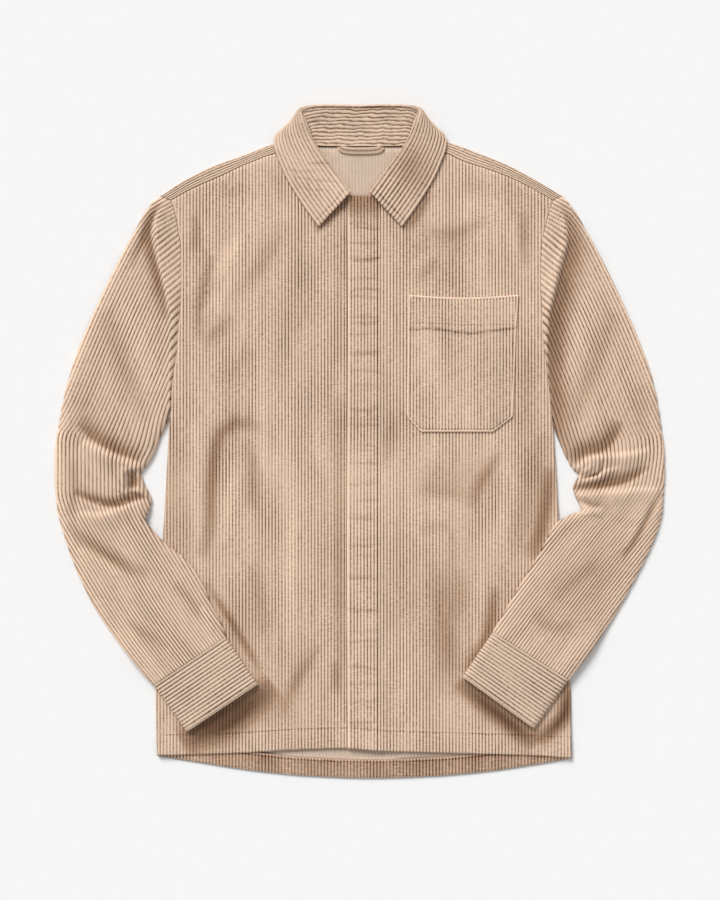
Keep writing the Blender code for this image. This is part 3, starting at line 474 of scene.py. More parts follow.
def unit(vector):
    return vector / np.maximum(np.linalg.norm(vector, axis=-1, keepdims=True), 1e-9)


def bell(distance, width=1.0):
    """1 on a line, fading on both sides of it."""
    return np.exp(-((distance / width) ** 2))


def wale(distance, pitch=PITCH, flatness=2.1):
    """0 in the grooves between wales and 1 along their rounded tops."""
    return 1 - np.abs(2 * (distance / pitch % 1) - 1) ** flatness


def ripple(x, y, seed):
    """Gentle unevenness of hand-laid cloth, from -1 to 1."""
    turns = seed * np.array([1.7, 2.9, 4.3, 5.1])
    waves = [
        np.sin(x / 31 + y / 83 + turns[0]),
        np.sin(x / 17 - y / 61 + turns[1]),
        np.sin(x / 47 + y / 37 + turns[2]),
        np.sin(x / 11 + y / 149 + turns[3]),
    ]
    return 0.4 * waves[0] + 0.2 * waves[1] + 0.3 * waves[2] + 0.1 * waves[3]


def along_line(points, count):
    """Points at even spacings along a smooth line through the given ones."""
    points = np.asarray(points, float)
    reach = np.append(0, np.cumsum(np.linalg.norm(np.diff(points, axis=0), axis=1)))
    return curve(np.column_stack([reach, points]), np.linspace(0, reach[-1], count))


def beside(x, y, line):
    """Signed distance from a line of points, and the share of the way along it."""
    best = np.full(np.shape(x), 1e9)
    share = np.zeros(np.shape(x))
    pieces = len(line) - 1
    for i, (start, end) in enumerate(zip(line[:-1], line[1:])):
        way = end - start
        length = np.hypot(*way)
        along = np.clip(((x - start[0]) * way[0] + (y - start[1]) * way[1]) / length**2, 0, 1)
        off_x, off_y = x - start[0] - along * way[0], y - start[1] - along * way[1]
        distance = np.hypot(off_x, off_y)
        side = np.sign(way[0] * off_y - way[1] * off_x)
        closer = distance < np.abs(best)
        best = np.where(closer, distance * np.where(side == 0, 1, side), best)
        share = np.where(closer, (i + along) / pieces, share)
    return best, share


def fold(x, y, points, left, right, height, count=12):
    """A ridge or trough that fades out at its ends, as wide as given on its two sides."""
    distance, share = beside(x, y, along_line(points, count))
    width = np.where(distance > 0, left, right)
    return height * bell(distance, width) * np.sin(np.pi * share) ** 0.5


def folds(x, y, table):
    """All folds of one sleeve."""
    total = np.zeros(np.shape(x))
    for points, upper, lower, height in table:
        left, right = (upper, lower) if points[0][0] < points[-1][0] else (lower, upper)
        total += fold(x, y, points, left, right, height)
    return total


class Piece:
    """Points, faces and surface values of one closed piece, gathered grid by grid."""

    def __init__(self, name):
        self.name = name
        self.points = []
        self.faces = []
        self.wales = []
        self.places = []
        self.shades = []
        self.count = 0

    def grid(self, points, wales=0.5, places=(0, 0), shade=0.0, ring=False):
        """Add rows of points with a face in each cell, and return their indices."""
        rows, across = points.shape[:2]
        index = self.count + np.arange(rows * across).reshape(rows, across)
        self.count += rows * across
        self.points.append(points.reshape(-1, 3))
        self.wales.append(np.broadcast_to(wales, (rows, across)).ravel())
        self.places.append(np.broadcast_to(places, (rows, across, 2)).reshape(-1, 2))
        self.shades.append(np.broadcast_to(shade, (rows, across)).ravel())
        run = np.append(index, index[:, :1], axis=1) if ring else index
        corners = [run[:-1, :-1], run[:-1, 1:], run[1:, 1:], run[1:, :-1]]
        self.faces.extend(np.stack(corners, axis=-1).reshape(-1, 4).tolist())
        return index

    def join(self, first, second):
        """Fill the strip between two runs of points whose ends face each other."""
        points = np.concatenate(self.points)
        shares = []
        for run in (first, second):
            reach = np.cumsum(np.linalg.norm(np.diff(points[run], axis=0), axis=1))
            shares.append(np.append(0, reach) / reach[-1])
        i = j = 0
        while i < len(first) - 1 or j < len(second) - 1:
            if j == len(second) - 1 or (
                i < len(first) - 1 and shares[0][i + 1] <= shares[1][j + 1]
            ):
                self.faces.append([first[i], first[i + 1], second[j]])
                i += 1
            else:
                self.faces.append([first[i], second[j + 1], second[j]])
                j += 1

    def join_edges(self, upper, lower):
        """Close the four sides between two grids."""
        for edge in (np.s_[0, :], np.s_[-1, :], np.s_[:, 0], np.s_[:, -1]):
            self.join(upper[edge], lower[edge])

    def join_ends(self, outside, across, inside, below):
        """Close both ends between a tube's skin and its lining, given the columns on top of each."""
        for end in (0, -1):
            out_top, out_under = outside[end][:across], outside[end][across:]
            in_top, in_under = inside[end][:below], inside[end][below:]
            self.join(out_top, in_top)
            self.join([out_top[-1], *out_under, out_top[0]], [in_top[-1], *in_under, in_top[0]])

    def cap(self, rings):
        """Close both ends of a run of rings."""
        for end in (0, -1):
            self.faces.append(rings[end].tolist())

    def finish(self, material):
        """The object in metres, its faces outwards, on the frame's body."""
        mesh = bpy.data.meshes.new(self.name)
        points = np.concatenate(self.points)
        mesh.from_pydata((points * MM).tolist(), [], self.faces)
        shaper = bmesh.new()
        shaper.from_mesh(mesh)
        bmesh.ops.recalc_face_normals(shaper, faces=shaper.faces)
        shaper.to_mesh(mesh)
        shaper.free()
        for kind, amounts in (("wale", self.wales), ("shade", self.shades)):
            values = mesh.attributes.new(kind, "FLOAT", "POINT")
            values.data.foreach_set("value", np.concatenate(amounts).astype(np.float32))
        places = np.column_stack([np.concatenate(self.places) * MM, np.zeros(len(points))])
        values = mesh.attributes.new("cloth", "FLOAT_VECTOR", "POINT")
        values.data.foreach_set("vector", places.ravel().astype(np.float32))
        mesh.shade_smooth()
        piece = bpy.data.objects.new(self.name, mesh)
        bpy.context.scene.collection.objects.link(piece)
        mesh.materials.append(material)
        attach(piece, "root")
        return piece


def every(count, step):
    """Indices of every few rows, with the last one."""
    return np.append(np.arange(0, count - 1, step), count - 1)


tops = {}


def shell(name, top, under, wales, places, material, step=(5, 7), shade=0.0):
    """A closed sheet of cloth: its finely ribbed top over a plain, coarser underside."""
    tops[name] = top
    piece = Piece(name)
    upper = piece.grid(top, wales, places, shade)
    pick = np.ix_(every(len(top), step[0]), every(top.shape[1], step[1]))
    lower = piece.grid(under[pick], 0.5, places[pick])
    piece.join_edges(upper, lower)
    return piece.finish(material)


def stacked(x, y, z):
    return np.stack(np.broadcast_arrays(x, y, z), axis=-1)


def on_top(top, line, reach=1.8):
    """Points of a line in plan, raised to the highest cloth close to each."""
    points = top.reshape(-1, 3)
    heights = []
    for x, y in line:
        near = np.hypot(points[:, 0] - x, points[:, 1] - y) < reach
        heights.append(points[near, 2].max())
    return np.column_stack([line, heights])


def make_stitches(name, top, lines, material):
    """Rows of short spindles of thread along lines in plan over one piece of cloth."""
    piece = Piece(name)
    for line in lines:
        line = np.asarray(line, float)
        reach = np.append(0, np.cumsum(np.hypot(*np.diff(line, axis=0).T)))
        starts = np.arange(0.4, reach[-1] - STITCH, STITCH_STEP)
        ends = []
        for shift in (0, STITCH / 2, STITCH):
            plan = np.column_stack([np.interp(starts + shift, reach, line[:, i]) for i in (0, 1)])
            ends.append(plan)
        start, middle, end = (on_top(top, plan) for plan in ends)
        side = unit(np.cross(end - start, [0, 0, 1.0])) * THREAD
        up = np.array([0, 0, THREAD])
        middle = middle + up * 0.3
        rings = np.stack([middle + side, middle + up, middle - side, middle - up], axis=1)
        spindles = np.concatenate([start[:, None], rings, end[:, None]], axis=1)
        first = piece.count + 6 * np.arange(len(starts))
        piece.count += 6 * len(starts)
        piece.points.append(spindles.reshape(-1, 3))
        piece.wales.append(np.full(6 * len(starts), 0.7))
        piece.shades.append(np.zeros(6 * len(starts)))
        piece.places.append(spindles.reshape(-1, 3)[:, :2])
        for tip, order in ((0, (1, 2, 3, 4, 1)), (5, (4, 3, 2, 1, 4))):
            for i, j in zip(order[:-1], order[1:]):
                piece.faces.extend(np.column_stack([first + tip, first + i, first + j]).tolist())
    return piece.finish(material)


def above_hem(low, high, count=60):
    """The line of the front hem's stitches from one x to another."""
    x = np.linspace(low, high, count)
    return np.column_stack([x, curve(FRONT_HEM, x) + HEM_STITCH])


def pocket_lines():
    """Stitches down the pocket's sides and round its corners, and those of its band."""
    _, corner, *_, opening = POCKET_ROWS
    left = [(low + POCKET_INSET, y) for y, low, _ in (opening, corner)]
    right = [(high - POCKET_INSET, y) for y, _, high in (corner, opening)]
    ends = [(x, y - POCKET_SAG) for x, y in (left[0], right[1])]
    x = np.linspace(66.0, 190.0, 30)
    band = np.column_stack([x, curve(POCKET_STITCH, (x - 60) / 136)])
    return [[ends[0], left[1], *POCKET_CORNERS, right[0], ends[1]], band]


def rim(distance, reach=1.6, drop=0.7):
    """The cloth's top turns down by its edge, at a distance from that edge."""
    return -drop * (1 - np.clip(distance / reach, 0, 1)) ** 2


def groove(distance, width=1.3, depth=0.55):
    """A row of stitches pulls the cloth down beside it."""
    return -depth * bell(distance, width)


class Front:
    """Plan and height of one front panel."""

    def __init__(self, sign, edge, shown_from, side, top, loft, creases, shadows):
        self.sign = sign
        self.edge = edge
        self.shown_from = shown_from
        self.side = side
        self.top = top
        self.loft = loft
        self.creases = creases
        self.shadows = shadows
        self.width = abs(side[0][1] - edge)

    def smooth(self, x, y):
        """Height of the front's top between its wales, anywhere on it or beside it."""
        start = self.edge + self.sign * self.shown_from
        reach = np.abs(curve(self.side, y) - start)
        share = np.clip(self.sign * (x - start) / reach, 0, 1)
        lofts = np.moveaxis(curve(self.loft, y), -1, 0)
        loft = np.zeros(np.shape(x))
        for i, (low, high) in enumerate(zip(LOFT_SHARES[:-1], LOFT_SHARES[1:])):
            part = smoothstep((share - low) / (high - low))
            inside = (share >= low) & (share < high)
            loft = np.where(inside, lofts[i] + part * (lofts[i + 1] - lofts[i]), loft)
        height = FRONT_UNDER + CLOTH + loft + curve(HEM_LIFT, y)
        for *points, width, rise in self.creases:
            height = height + 0.55 * fold(x, y, points, width, width, rise)
        height = height + 0.16 * ripple(x, y, self.sign + 2)
        if self.sign > 0:
            climb = PLACKET_UNDER - FRONT_UNDER
            height = height + climb * (1 - smoothstep((x - self.edge) / PLACKET_SLOPE))
        return height

    def tone(self, x, y):
        """Painted shade: darker along sunken creases and shadows, lighter along raised ones."""
        tone = 0.05 * ripple(1.7 * x, y, 5 - self.sign)
        for *points, width, rise in self.creases + self.shadows:
            tone = tone - CREASE_TONE * fold(x, y, points, width, width, rise)
        return tone + 0.04 * smoothstep((-50 - y) / 200)

    def grid(self):
        """x, y and distance from the front edge of the fine grid's points."""
        columns = round(self.width / PITCH * COLUMNS_A_WALE)
        out = np.linspace(0, self.width, columns + 1)
        low, high = self.side[0][0], self.side[-1][0]
        near_hem = np.arange(low, low + 34, HEM_ROW)
        rows = np.append(near_hem, np.linspace(near_hem[-1] + 2, high, round(660 / ROW)))
        reach = np.abs(curve(self.side, rows) - self.edge)[:, None]
        x = self.edge + self.sign * (out + (reach - self.width) * (out / self.width) ** 5)
        share = (rows - rows[0]) / (rows[-1] - rows[0])
        hem, top = curve(FRONT_HEM, x[0]), curve(self.top, x[-1])
        return x, hem + share[:, None] * (top - hem), hem, top


def make_front(name, front, material):
    x, y, hem, top = front.grid()
    ribs = wale(np.abs(x - front.edge))
    height = front.smooth(x, y)
    above_hem, below_seam = y - hem, top - y
    share = (y[:, -1] - y[0, -1]) / (y[-1, -1] - y[0, -1])
    low, high = front.side[0][0], front.side[-1][0]
    side = np.abs(curve(front.side, low + share * (high - low)))
    inward = side[:, None] - np.abs(x)
    height = height + rim(above_hem) + rim(inward, 2.2, 1.0)
    height = height + groove(above_hem - HEM_STITCH, 1.6, 0.6) + rim(below_seam, 2.0, 0.6)
    height = height + 0.35 * smoothstep((HEM_TURN - above_hem) / 3.0)
    y = y + HEM_SCALLOP * (1 - ribs) * np.exp(-above_hem / 2.0)
    # Painted shade in the groove beside the hem's stitches; painted highlight along the hem's turn
    # above it, along the hem's edge and along the armhole
    painted_shading = 0.3 * bell(above_hem - HEM_DARK, 1.2)
    painted_shading = painted_shading - 0.3 * bell(above_hem - HEM_PALE, 1.2)
    painted_shading = painted_shading - 0.3 * bell(above_hem, 1.6)
    painted_shading = painted_shading - 0.3 * bell(inward - 1.2, 1.2) * (y > 30)
    # Painted shadow of the placket's edge on the right front beside it
    if front.sign < 0:
        painted_shading = painted_shading + 0.7 * bell(x - PLACKET_LEFT + 0.7, 0.9)
    crimp = 1 - 0.5 * bell(below_seam, 2.5)
    rise = WALE * ribs * crimp
    under = height - CLOTH
    places = np.stack([np.abs(x - front.edge), y], axis=-1)
    return shell(name, stacked(x, y, height + rise), stacked(x, y, under), ribs - painted_shading,
                 places, material, shade=front.tone(x, y))


def make_placket(material):
    width = PLACKET_RIGHT - 0.1 - PLACKET_LEFT
    columns = np.linspace(0, width, PLACKET_WALES * POINTS_A_WALE + 1)
    share = np.linspace(0, 1, 431)[:, None]
    x = PLACKET_LEFT + columns
    hem = curve(FRONT_HEM, x)
    y = hem + share * (PLACKET_TOP - hem)
    x = x + 0.5 * np.sin(y / 95) * (1 - columns / width)
    above = y - hem
    ribs = wale(columns - 0.6, width / PLACKET_WALES) * smoothstep((columns - 0.3) / 1.5)
    bottom = PLACKET_UNDER + curve(HEM_LIFT, y)
    puckers = np.zeros(np.broadcast(x, y).shape)
    for i in range(PUCKERS):
        at = -350 + 14.6 * i + 6 * np.sin(2.3 * i)
        near, far = -34 + 26 * np.sin(1.9 * i) ** 2, 42 - 14 * np.cos(1.3 * i) ** 2
        line = [(near, at), ((near + far) / 2, at + 2 * np.cos(at)), (far, at + 5 * np.sin(i))]
        deep = 0.2 + 0.35 * np.cos(5 * i) ** 2 + 0.2 * smoothstep(at / 200)
        puckers = puckers + fold(x, y, line, 1.1, 3.2, -deep, 6)
    height = bottom + PLACKET_CLOTH + 0.15 * ripple(x, y, 4) + puckers
    height = height + rim(columns, 1.8, 0.8) + rim(above) + rim(PLACKET_TOP - y)
    height = height + groove(x - PLACKET_STITCH_X, 1.1, 0.6) + groove(above - HEM_STITCH, 1.4, 0.6)
    # Painted highlight along the placket's raised left edge, painted shade in the grooves of its
    # stitches and in the puckers' troughs
    lighter = 1.3 * bell(columns - 0.6, 1.3) + 0.12 * puckers
    lighter = lighter - 0.3 * bell(x - PLACKET_STITCH_X, 0.9)
    lighter = lighter - 0.3 * bell(above - HEM_DARK, 1.2)
    shade = -0.25 * puckers - 0.14 * bell(columns - 0.6, 1.3) - 0.02
    # Painted shadow of the collar over the placket's top
    shade = shade + 0.45 * smoothstep((y - 268) / 30)
    top = stacked(x, y, height + WALE * ribs)
    places = np.stack(np.broadcast_arrays(columns, y), axis=-1)
    return shell("placket_cloth", top, stacked(x, y, bottom), ribs + lighter, places, material,
                 shade=shade)


def make_pocket(front, material):
    low, high = POCKET_ROWS[0][0], POCKET_ROWS[-1][0]
    rows = np.concatenate([np.arange(low, low + 26, 0.9), np.arange(low + 26, 132, 3.2),
                           np.arange(132, high - 0.5, 1.5), [high]])[:, None]
    table = np.array(POCKET_ROWS)
    left = np.interp(rows, table[:, 0], table[:, 1])
    right = np.interp(rows, table[:, 0], table[:, 2])
    share = np.linspace(0, 1, POCKET_WALES * COLUMNS_A_WALE + 1)
    x = left + share * (right - left)
    sag = POCKET_SAG * np.sin(np.pi * share)
    y = rows - sag * smoothstep((rows - 100) / 83) * 0.9
    between = wale(x - table[1, 1], POCKET_PITCH)
    inward = np.minimum(x - left, right - x)
    corner = np.where(rows < 40, (rows - low) * 0.75 + 0.6, 40)
    edge = np.minimum(inward, np.minimum(rows - low, high - rows))
    edge = np.minimum(edge, np.maximum(inward * 0.7, 0) + corner)
    ribs = np.maximum(between, np.exp(-((edge / 1.5) ** 4)))
    base = front.smooth(x, y) + WALE + 0.25
    puff = 0.9 * np.sin(np.pi * share) * np.sin(np.pi * np.clip((rows - low) / 140, 0, 1))
    below_band = y - curve(POCKET_BAND, share)
    below_stitch = y - curve(POCKET_STITCH, share)
    band = 0.6 * smoothstep(below_band / 2.0)
    height = base + CLOTH + 0.4 * puff + band + rim(edge, 1.7, 0.7)
    height = height + groove(edge - POCKET_GROOVE, 1.0, 0.45) + groove(below_stitch, 1.2, 0.5)
    height = height + groove(below_band + 1.0, 1.4, 0.5)
    # Painted highlight along the pocket's rolled edges and above its band's stitches; painted shade in
    # the grooves under its band's fold, below its band's stitches and along its side stitches
    lighter = 0.9 * bell(edge, 1.5)
    darker = 0.4 * bell(below_band + 0.8, 1.2)
    darker = darker + 0.25 * bell(below_stitch + 1.2, 0.9)
    lighter = lighter + 0.3 * bell(below_stitch - 0.8, 0.9)
    darker = darker + 0.25 * bell(edge - POCKET_INSET, 0.8)
    y = y + 0.9 * (1 - ribs) * np.exp(-(rows - low) / 1.5)
    top = stacked(x, y, height + 0.9 * WALE * ribs)
    places = np.stack(np.broadcast_arrays(x, y), axis=-1)
    # Painted highlight on the rolled edges with a random tone, and painted shade below the raised band
    shade = -0.12 * bell(edge, 1.7) + 0.05 * ripple(1.7 * x, y, 6) - 0.02
    shade = shade + 0.1 * bell(below_band + 3.0, 2.5)
    return shell("pocket_cloth", top, stacked(x, y, base), ribs + lighter - darker, places,
                 material, shade=shade)


def across_back():
    """Shares of the way across the back at its fine columns."""
    width = SIDE_LEFT[0][1] - SIDE_RIGHT[0][1]
    return np.linspace(0, 1, round(width / PITCH * COLUMNS_A_WALE) + 1)


def make_back(material):
    """The plain inside of the back."""
    rows = np.linspace(SIDE_RIGHT[0][0], SIDE_RIGHT[-1][0], 90)
    right, left = curve(SIDE_RIGHT, rows)[:, None], curve(SIDE_LEFT, rows)[:, None]
    x = right + across_back()[::3] * (left - right)
    top, hem = curve(BACK_TOP_EDGE, x[-1]), curve(BACK_HEM, x[0])
    along = ((rows - rows[0]) / (rows[-1] - rows[0]))[:, None]
    y = hem + along * (top - hem)
    inner = y.copy()
    inner[0] = hem + HEM_BAND_WIDTH + SEAM
    plain = stacked(x, np.maximum(inner, inner[0]), BACK_TOP + 0.12 * ripple(x, y, 8) - 0.12)
    piece = Piece("back_cloth")
    upper = piece.grid(plain, 0.5, np.stack([x, inner], axis=-1))
    coarse = np.s_[::8, ::6]
    lower = piece.grid(stacked(x, y, 0.0)[coarse], 0.5, np.stack([x, y], axis=-1)[coarse])
    piece.join_edges(upper, lower)
    return piece.finish(material)


def make_back_hem(material):
    """The back's ribbed hem, turned up on its inside."""
    low, high = SIDE_RIGHT[0][1], SIDE_LEFT[0][1]
    x = low + across_back() * (high - low)
    up = np.linspace(0, 1, 14)[:, None]
    above = up * HEM_BAND_WIDTH
    y = curve(BACK_HEM, x) + above
    ribs = wale(x - x[0])
    away = np.minimum(up, 1 - up) * HEM_BAND_WIDTH
    height = HEM_BAND_TOP + rim(away, 2.4, 1.1) + 0.25 * ripple(x, y, 6)
    height = height + groove(above - 20.0, 1.0, 0.3)
    band = stacked(x, y, height + 0.85 * WALE * ribs * smoothstep(away / 1.2))
    # Painted highlight along the band's turned top edge, painted shade growing up the band towards the
    # front's hem over it, and in the groove of its stitches
    colour = 0.75 * ribs - 0.12 * up + 0.7 * bell((1 - up) * HEM_BAND_WIDTH, 1.5)
    colour = colour - 0.35 * bell(above - 19.5, 0.8)
    places = np.stack(np.broadcast_arrays(x, y), axis=-1)
    return shell("back_hem_cloth", band, stacked(x, y, BACK_TOP + 0.15), colour, places, material,
                 step=(5, 8))


def make_yoke(name, table, material):
    """A strip folded over the shoulder, its wales along the shoulder."""
    table = np.array(table)
    reach = np.append(0, np.cumsum(np.linalg.norm(np.diff(table[:, :2], axis=0), axis=1)))
    rows = curve(np.column_stack([reach, table]), np.linspace(0, reach[-1], 90))
    share = np.linspace(0, YOKE_RIBBED_SHARE, YOKE_WALES * POINTS_A_WALE + 1)
    ribs = wale(share, YOKE_RIBBED_SHARE / YOKE_WALES)
    ribs = np.maximum(ribs, 0.92 * ((share > 0.03) & (share < 0.2)))
    flat_top = FRONT_UNDER + CLOTH + rim(share * 15, 2.2, 0.7)
    upper = np.column_stack([share, flat_top + WALE * ribs])
    section = np.concatenate([upper, YOKE_FOLD, YOKE_INSIDE])
    colour = np.concatenate([ribs, np.full(len(YOKE_FOLD), 0.7), np.full(len(YOKE_INSIDE), 0.5)])
    seam, edge = rows[:, None, :2], rows[:, None, 2:]
    start = seam + SEAM * unit(edge - seam)
    plan = start + section[None, :, :1] * (edge - start)
    rings = np.dstack([plan, np.broadcast_to(section[:, 1], plan.shape[:2])])
    along = np.linspace(0, reach[-1], len(rows))[:, None]
    places = np.stack(np.broadcast_arrays(section[:, 0] * 15.0, along), axis=-1)
    piece = Piece(name)
    index = piece.grid(rings, colour, places, ring=True)
    piece.cap(index)
    return piece.finish(material)


def collar_row(step):
    """The station table read at a fractional station, along smooth curves."""
    last = len(COLLAR_STATIONS) - 1
    index = min(int(step), last - 1)
    share = step - index
    mirrored = COLLAR_STATIONS[last - 1].copy()
    mirrored[[0, 3, 6]] *= -1
    rows = [*COLLAR_STATIONS, mirrored]
    before, here, after = rows[max(index - 1, 0)], rows[index], rows[index + 1]
    later = rows[min(index + 2, last + 1)]
    tangent, next_tangent = (after - before) / 2, (later - here) / 2
    return (
        here * (1 + 2 * share) * (1 - share) ** 2
        + tangent * share * (1 - share) ** 2
        + after * share**2 * (3 - 2 * share)
        + next_tangent * share**2 * (share - 1)
    )


def collar_sections(steps):
    """Middle lines of the stand and of the leaf at each station of one half."""
    stands, leaves = [], []
    for step in steps:
        row = collar_row(step)
        seam, roll, edge, radius = row[0:3], row[3:6], row[6:9], row[10]
        lean = np.radians(row[9])
        between = unit(np.append(unit((edge - roll)[:2]) + unit((seam - roll)[:2]), 0.0))
        side = np.array([-between[1], between[0], 0.0])
        across = np.cos(lean) * np.array([0, 0, 1.0]) + np.sin(lean) * side
        stand_top, leaf_top = roll - radius * across, roll + radius * across
        stand_way, leaf_way = unit(seam - stand_top), unit(edge - leaf_top)
        stand_top = stand_top + radius * stand_way
        handle = ROLL_FULLNESS * radius
        start = stand_top - SEAM * stand_way
        leaf_start = leaf_top + radius * leaf_way
        share = np.linspace(0, 1, ROLL_POINTS, endpoint=False)[:, None]
        bend = (
            start * (1 - share) ** 3
            + 3 * (start - handle * stand_way) * share * (1 - share) ** 2
            + 3 * (leaf_start - handle * leaf_way) * share**2 * (1 - share)
            + leaf_start * share**3
        )
        count = LEAF_WALES * POINTS_A_WALE + 1 - ROLL_POINTS
        fall = leaf_start + np.linspace(0, 1, count)[:, None] * (edge - leaf_start)
        rise = np.linspace(0, 1, STAND_WALES * POINTS_A_WALE + 1)[:, None]
        stand = seam + rise * (stand_top + ROLL_GAP * stand_way - seam)
        stand[:, 2] = np.maximum(stand[:, 2] - STAND_SAG * np.sin(np.pi * rise[:, 0]), seam[2])
        stands.append(stand)
        leaves.append(np.concatenate([bend, fall]))
    return np.array(stands), np.array(leaves)


def both_halves(half):
    """A half's stations followed by their mirror image, as one run from side to side."""
    other = half[-2::-1].copy()
    other[..., 0] *= -1
    whole = np.concatenate([half, other])
    whole[..., 0] += COLLAR_MIDDLE
    return whole


def normals(grid):
    """Directions square to a grid of points."""
    return unit(np.cross(np.gradient(grid, axis=0), np.gradient(grid, axis=1)))


def reach_of(grid, axis):
    """Distance along the rows or columns of a grid of points."""
    steps = np.linalg.norm(np.diff(grid, axis=axis), axis=-1)
    start = np.zeros_like(np.take(steps, [0], axis=axis))
    return np.cumsum(np.concatenate([start, steps], axis=axis), axis=axis)


def collar_steps():
    """Fractional stations from the front edge to the middle of the back."""
    last = len(COLLAR_STATIONS) - 1
    return np.linspace(0, last, last * STEPS_A_STATION + 1)


def make_leaf(material):
    """The collar's falling leaf, over the roll and down to its edge."""
    steps = collar_steps()
    _, half = collar_sections(steps)
    leaf = both_halves(half)
    square = normals(leaf)
    across, along = reach_of(leaf, 1), reach_of(leaf, 0)
    pitch = across[:, -1:] / (LEAF_WALES + 0.5)
    ribs = wale(across + pitch / 2, pitch)
    fade = 1 - 0.75 * smoothstep((steps - 5.0) / 1.5)
    fade = np.concatenate([fade, fade[-2::-1]])[:, None]
    from_end = np.minimum(along, along[-1:] - along)
    from_edge = across[:, -1:] - across
    lift = WALE * ribs * fade + rim(from_end, 1.6, 0.8) + rim(from_edge, 1.6, 0.7)
    lift = lift + groove(from_end - LEAF_STITCH, 1.0, 0.5) + groove(from_edge - 6.0, 1.0, 0.3)
    for end, step in ((0, 1), (-1, -1)):
        way = unit(leaf[end + step] - leaf[end])
        leaf[end] = leaf[end] + LEAF_SCALLOP * (1 - ribs[end])[:, None] * way
    outer = leaf - square * (CLOTH / 2 + lift)[..., None]
    inner = leaf + square * CLOTH / 2
    places = np.stack([across, along], axis=-1)
    # Painted shade in the grooves of the end stitches and along the roll; the picture's left leaf gets
    # paler grooves as painted light, the other leaf painted shade across its middle
    dark = 0.25 * bell(from_end - LEAF_STITCH, 0.8)
    dark = dark + 0.5 * bell(across, 2.4) * (from_end > 60)
    side = np.where(leaf[..., 0] < COLLAR_MIDDLE, 1, 0)
    dark = dark - 0.22 * side * (1 - ribs)
    middle = np.sin(np.pi * across / across[:, -1:])
    shade = 0.3 * bell(from_end - 62, 26) * middle * (1 - side)
    for *points, width, rise in LEAF_CREASES:
        shade = shade - 0.55 * fold(leaf[..., 0], leaf[..., 1], points, width, width, rise)
    return shell("collar_leaf_cloth", outer, inner, ribs - dark, places, material, shade=shade)


def make_stand(material):
    """The collar's stand, crinkled, from the neck seam up to the roll."""
    half, _ = collar_sections(collar_steps()[STAND_FROM * STEPS_A_STATION:])
    stand = both_halves(half)
    square = normals(stand)
    across, along = reach_of(stand, 1), reach_of(stand, 0)
    wander = 0.5 * np.sin(along / 9.0 + across / 4.0) + 0.4 * np.sin(along / 4.3 - across / 7.0)
    wander = wander + 0.35 * np.sin(along / 2.3 + 3 * np.sin(across / 5.0))
    ribs = wale(across + wander + 2.0, across[:, -1:] / STAND_WALES)
    crinkle = 0.8 * np.sin(along / 9.0 + 2 * np.sin(across / 7.0)) * np.sin(along / 23.0)
    middle = np.sin(np.pi * across / across[:, -1:])
    lift = WALE * ribs + crinkle * middle
    from_end = np.minimum(along, along[-1:] - along)
    # Painted shade: lighter on the crinkles' crests, darker in their troughs and along fine breaks with
    # no height, and darker at both ends, in the leaf's shadow
    breaks = np.sin(along / 3.7 + 2 * np.sin(across / 6.0)) ** 8
    shade = -0.12 * crinkle * middle + 0.14 * breaks * middle
    shade = shade + 0.25 * bell(from_end, 45) - 0.1
    inner = stand - square * (CLOTH / 2 + lift)[..., None]
    outer = stand + square * CLOTH / 2
    places = np.stack([across, along], axis=-1)
    return shell("collar_stand_cloth", inner, outer, ribs, places, material, shade=shade)


def make_loop(material):
    line = along_line(LOOP_LINE, 60)
    way = unit(np.gradient(line, axis=0))
    side = unit(np.cross(way, [0, 0, 1.0]))
    turn = np.linspace(0, 2 * np.pi, 20, endpoint=False)[None, :, None]
    flat = np.abs(np.cos(turn)) ** 0.7 * np.sign(np.cos(turn)) * LOOP_WIDTH / 2
    high = np.abs(np.sin(turn)) ** 0.8 * np.sign(np.sin(turn)) * LOOP_HEIGHT / 2
    dip = -0.45 * bell(np.cos(turn), 0.16) * (np.sin(turn) > 0)
    rings = line[:, None] + side[:, None] * flat + np.array([0, 0, 1.0]) * (high + dip)
    along = reach_of(rings, 0)
    places = np.stack([np.broadcast_to(flat[..., 0], along.shape), along], axis=-1)
    piece = Piece("hanger_loop_cloth")
    # Painted highlight along the loop's rolled sides and painted shade in the dip along its top
    tone = 0.66 + 0.3 * (np.abs(np.sin(turn[..., 0])) < 0.6) - 0.4 * (dip[..., 0] < -0.2)
    index = piece.grid(rings, tone, places, ring=True)
    piece.cap(index)
    return piece.finish(material)


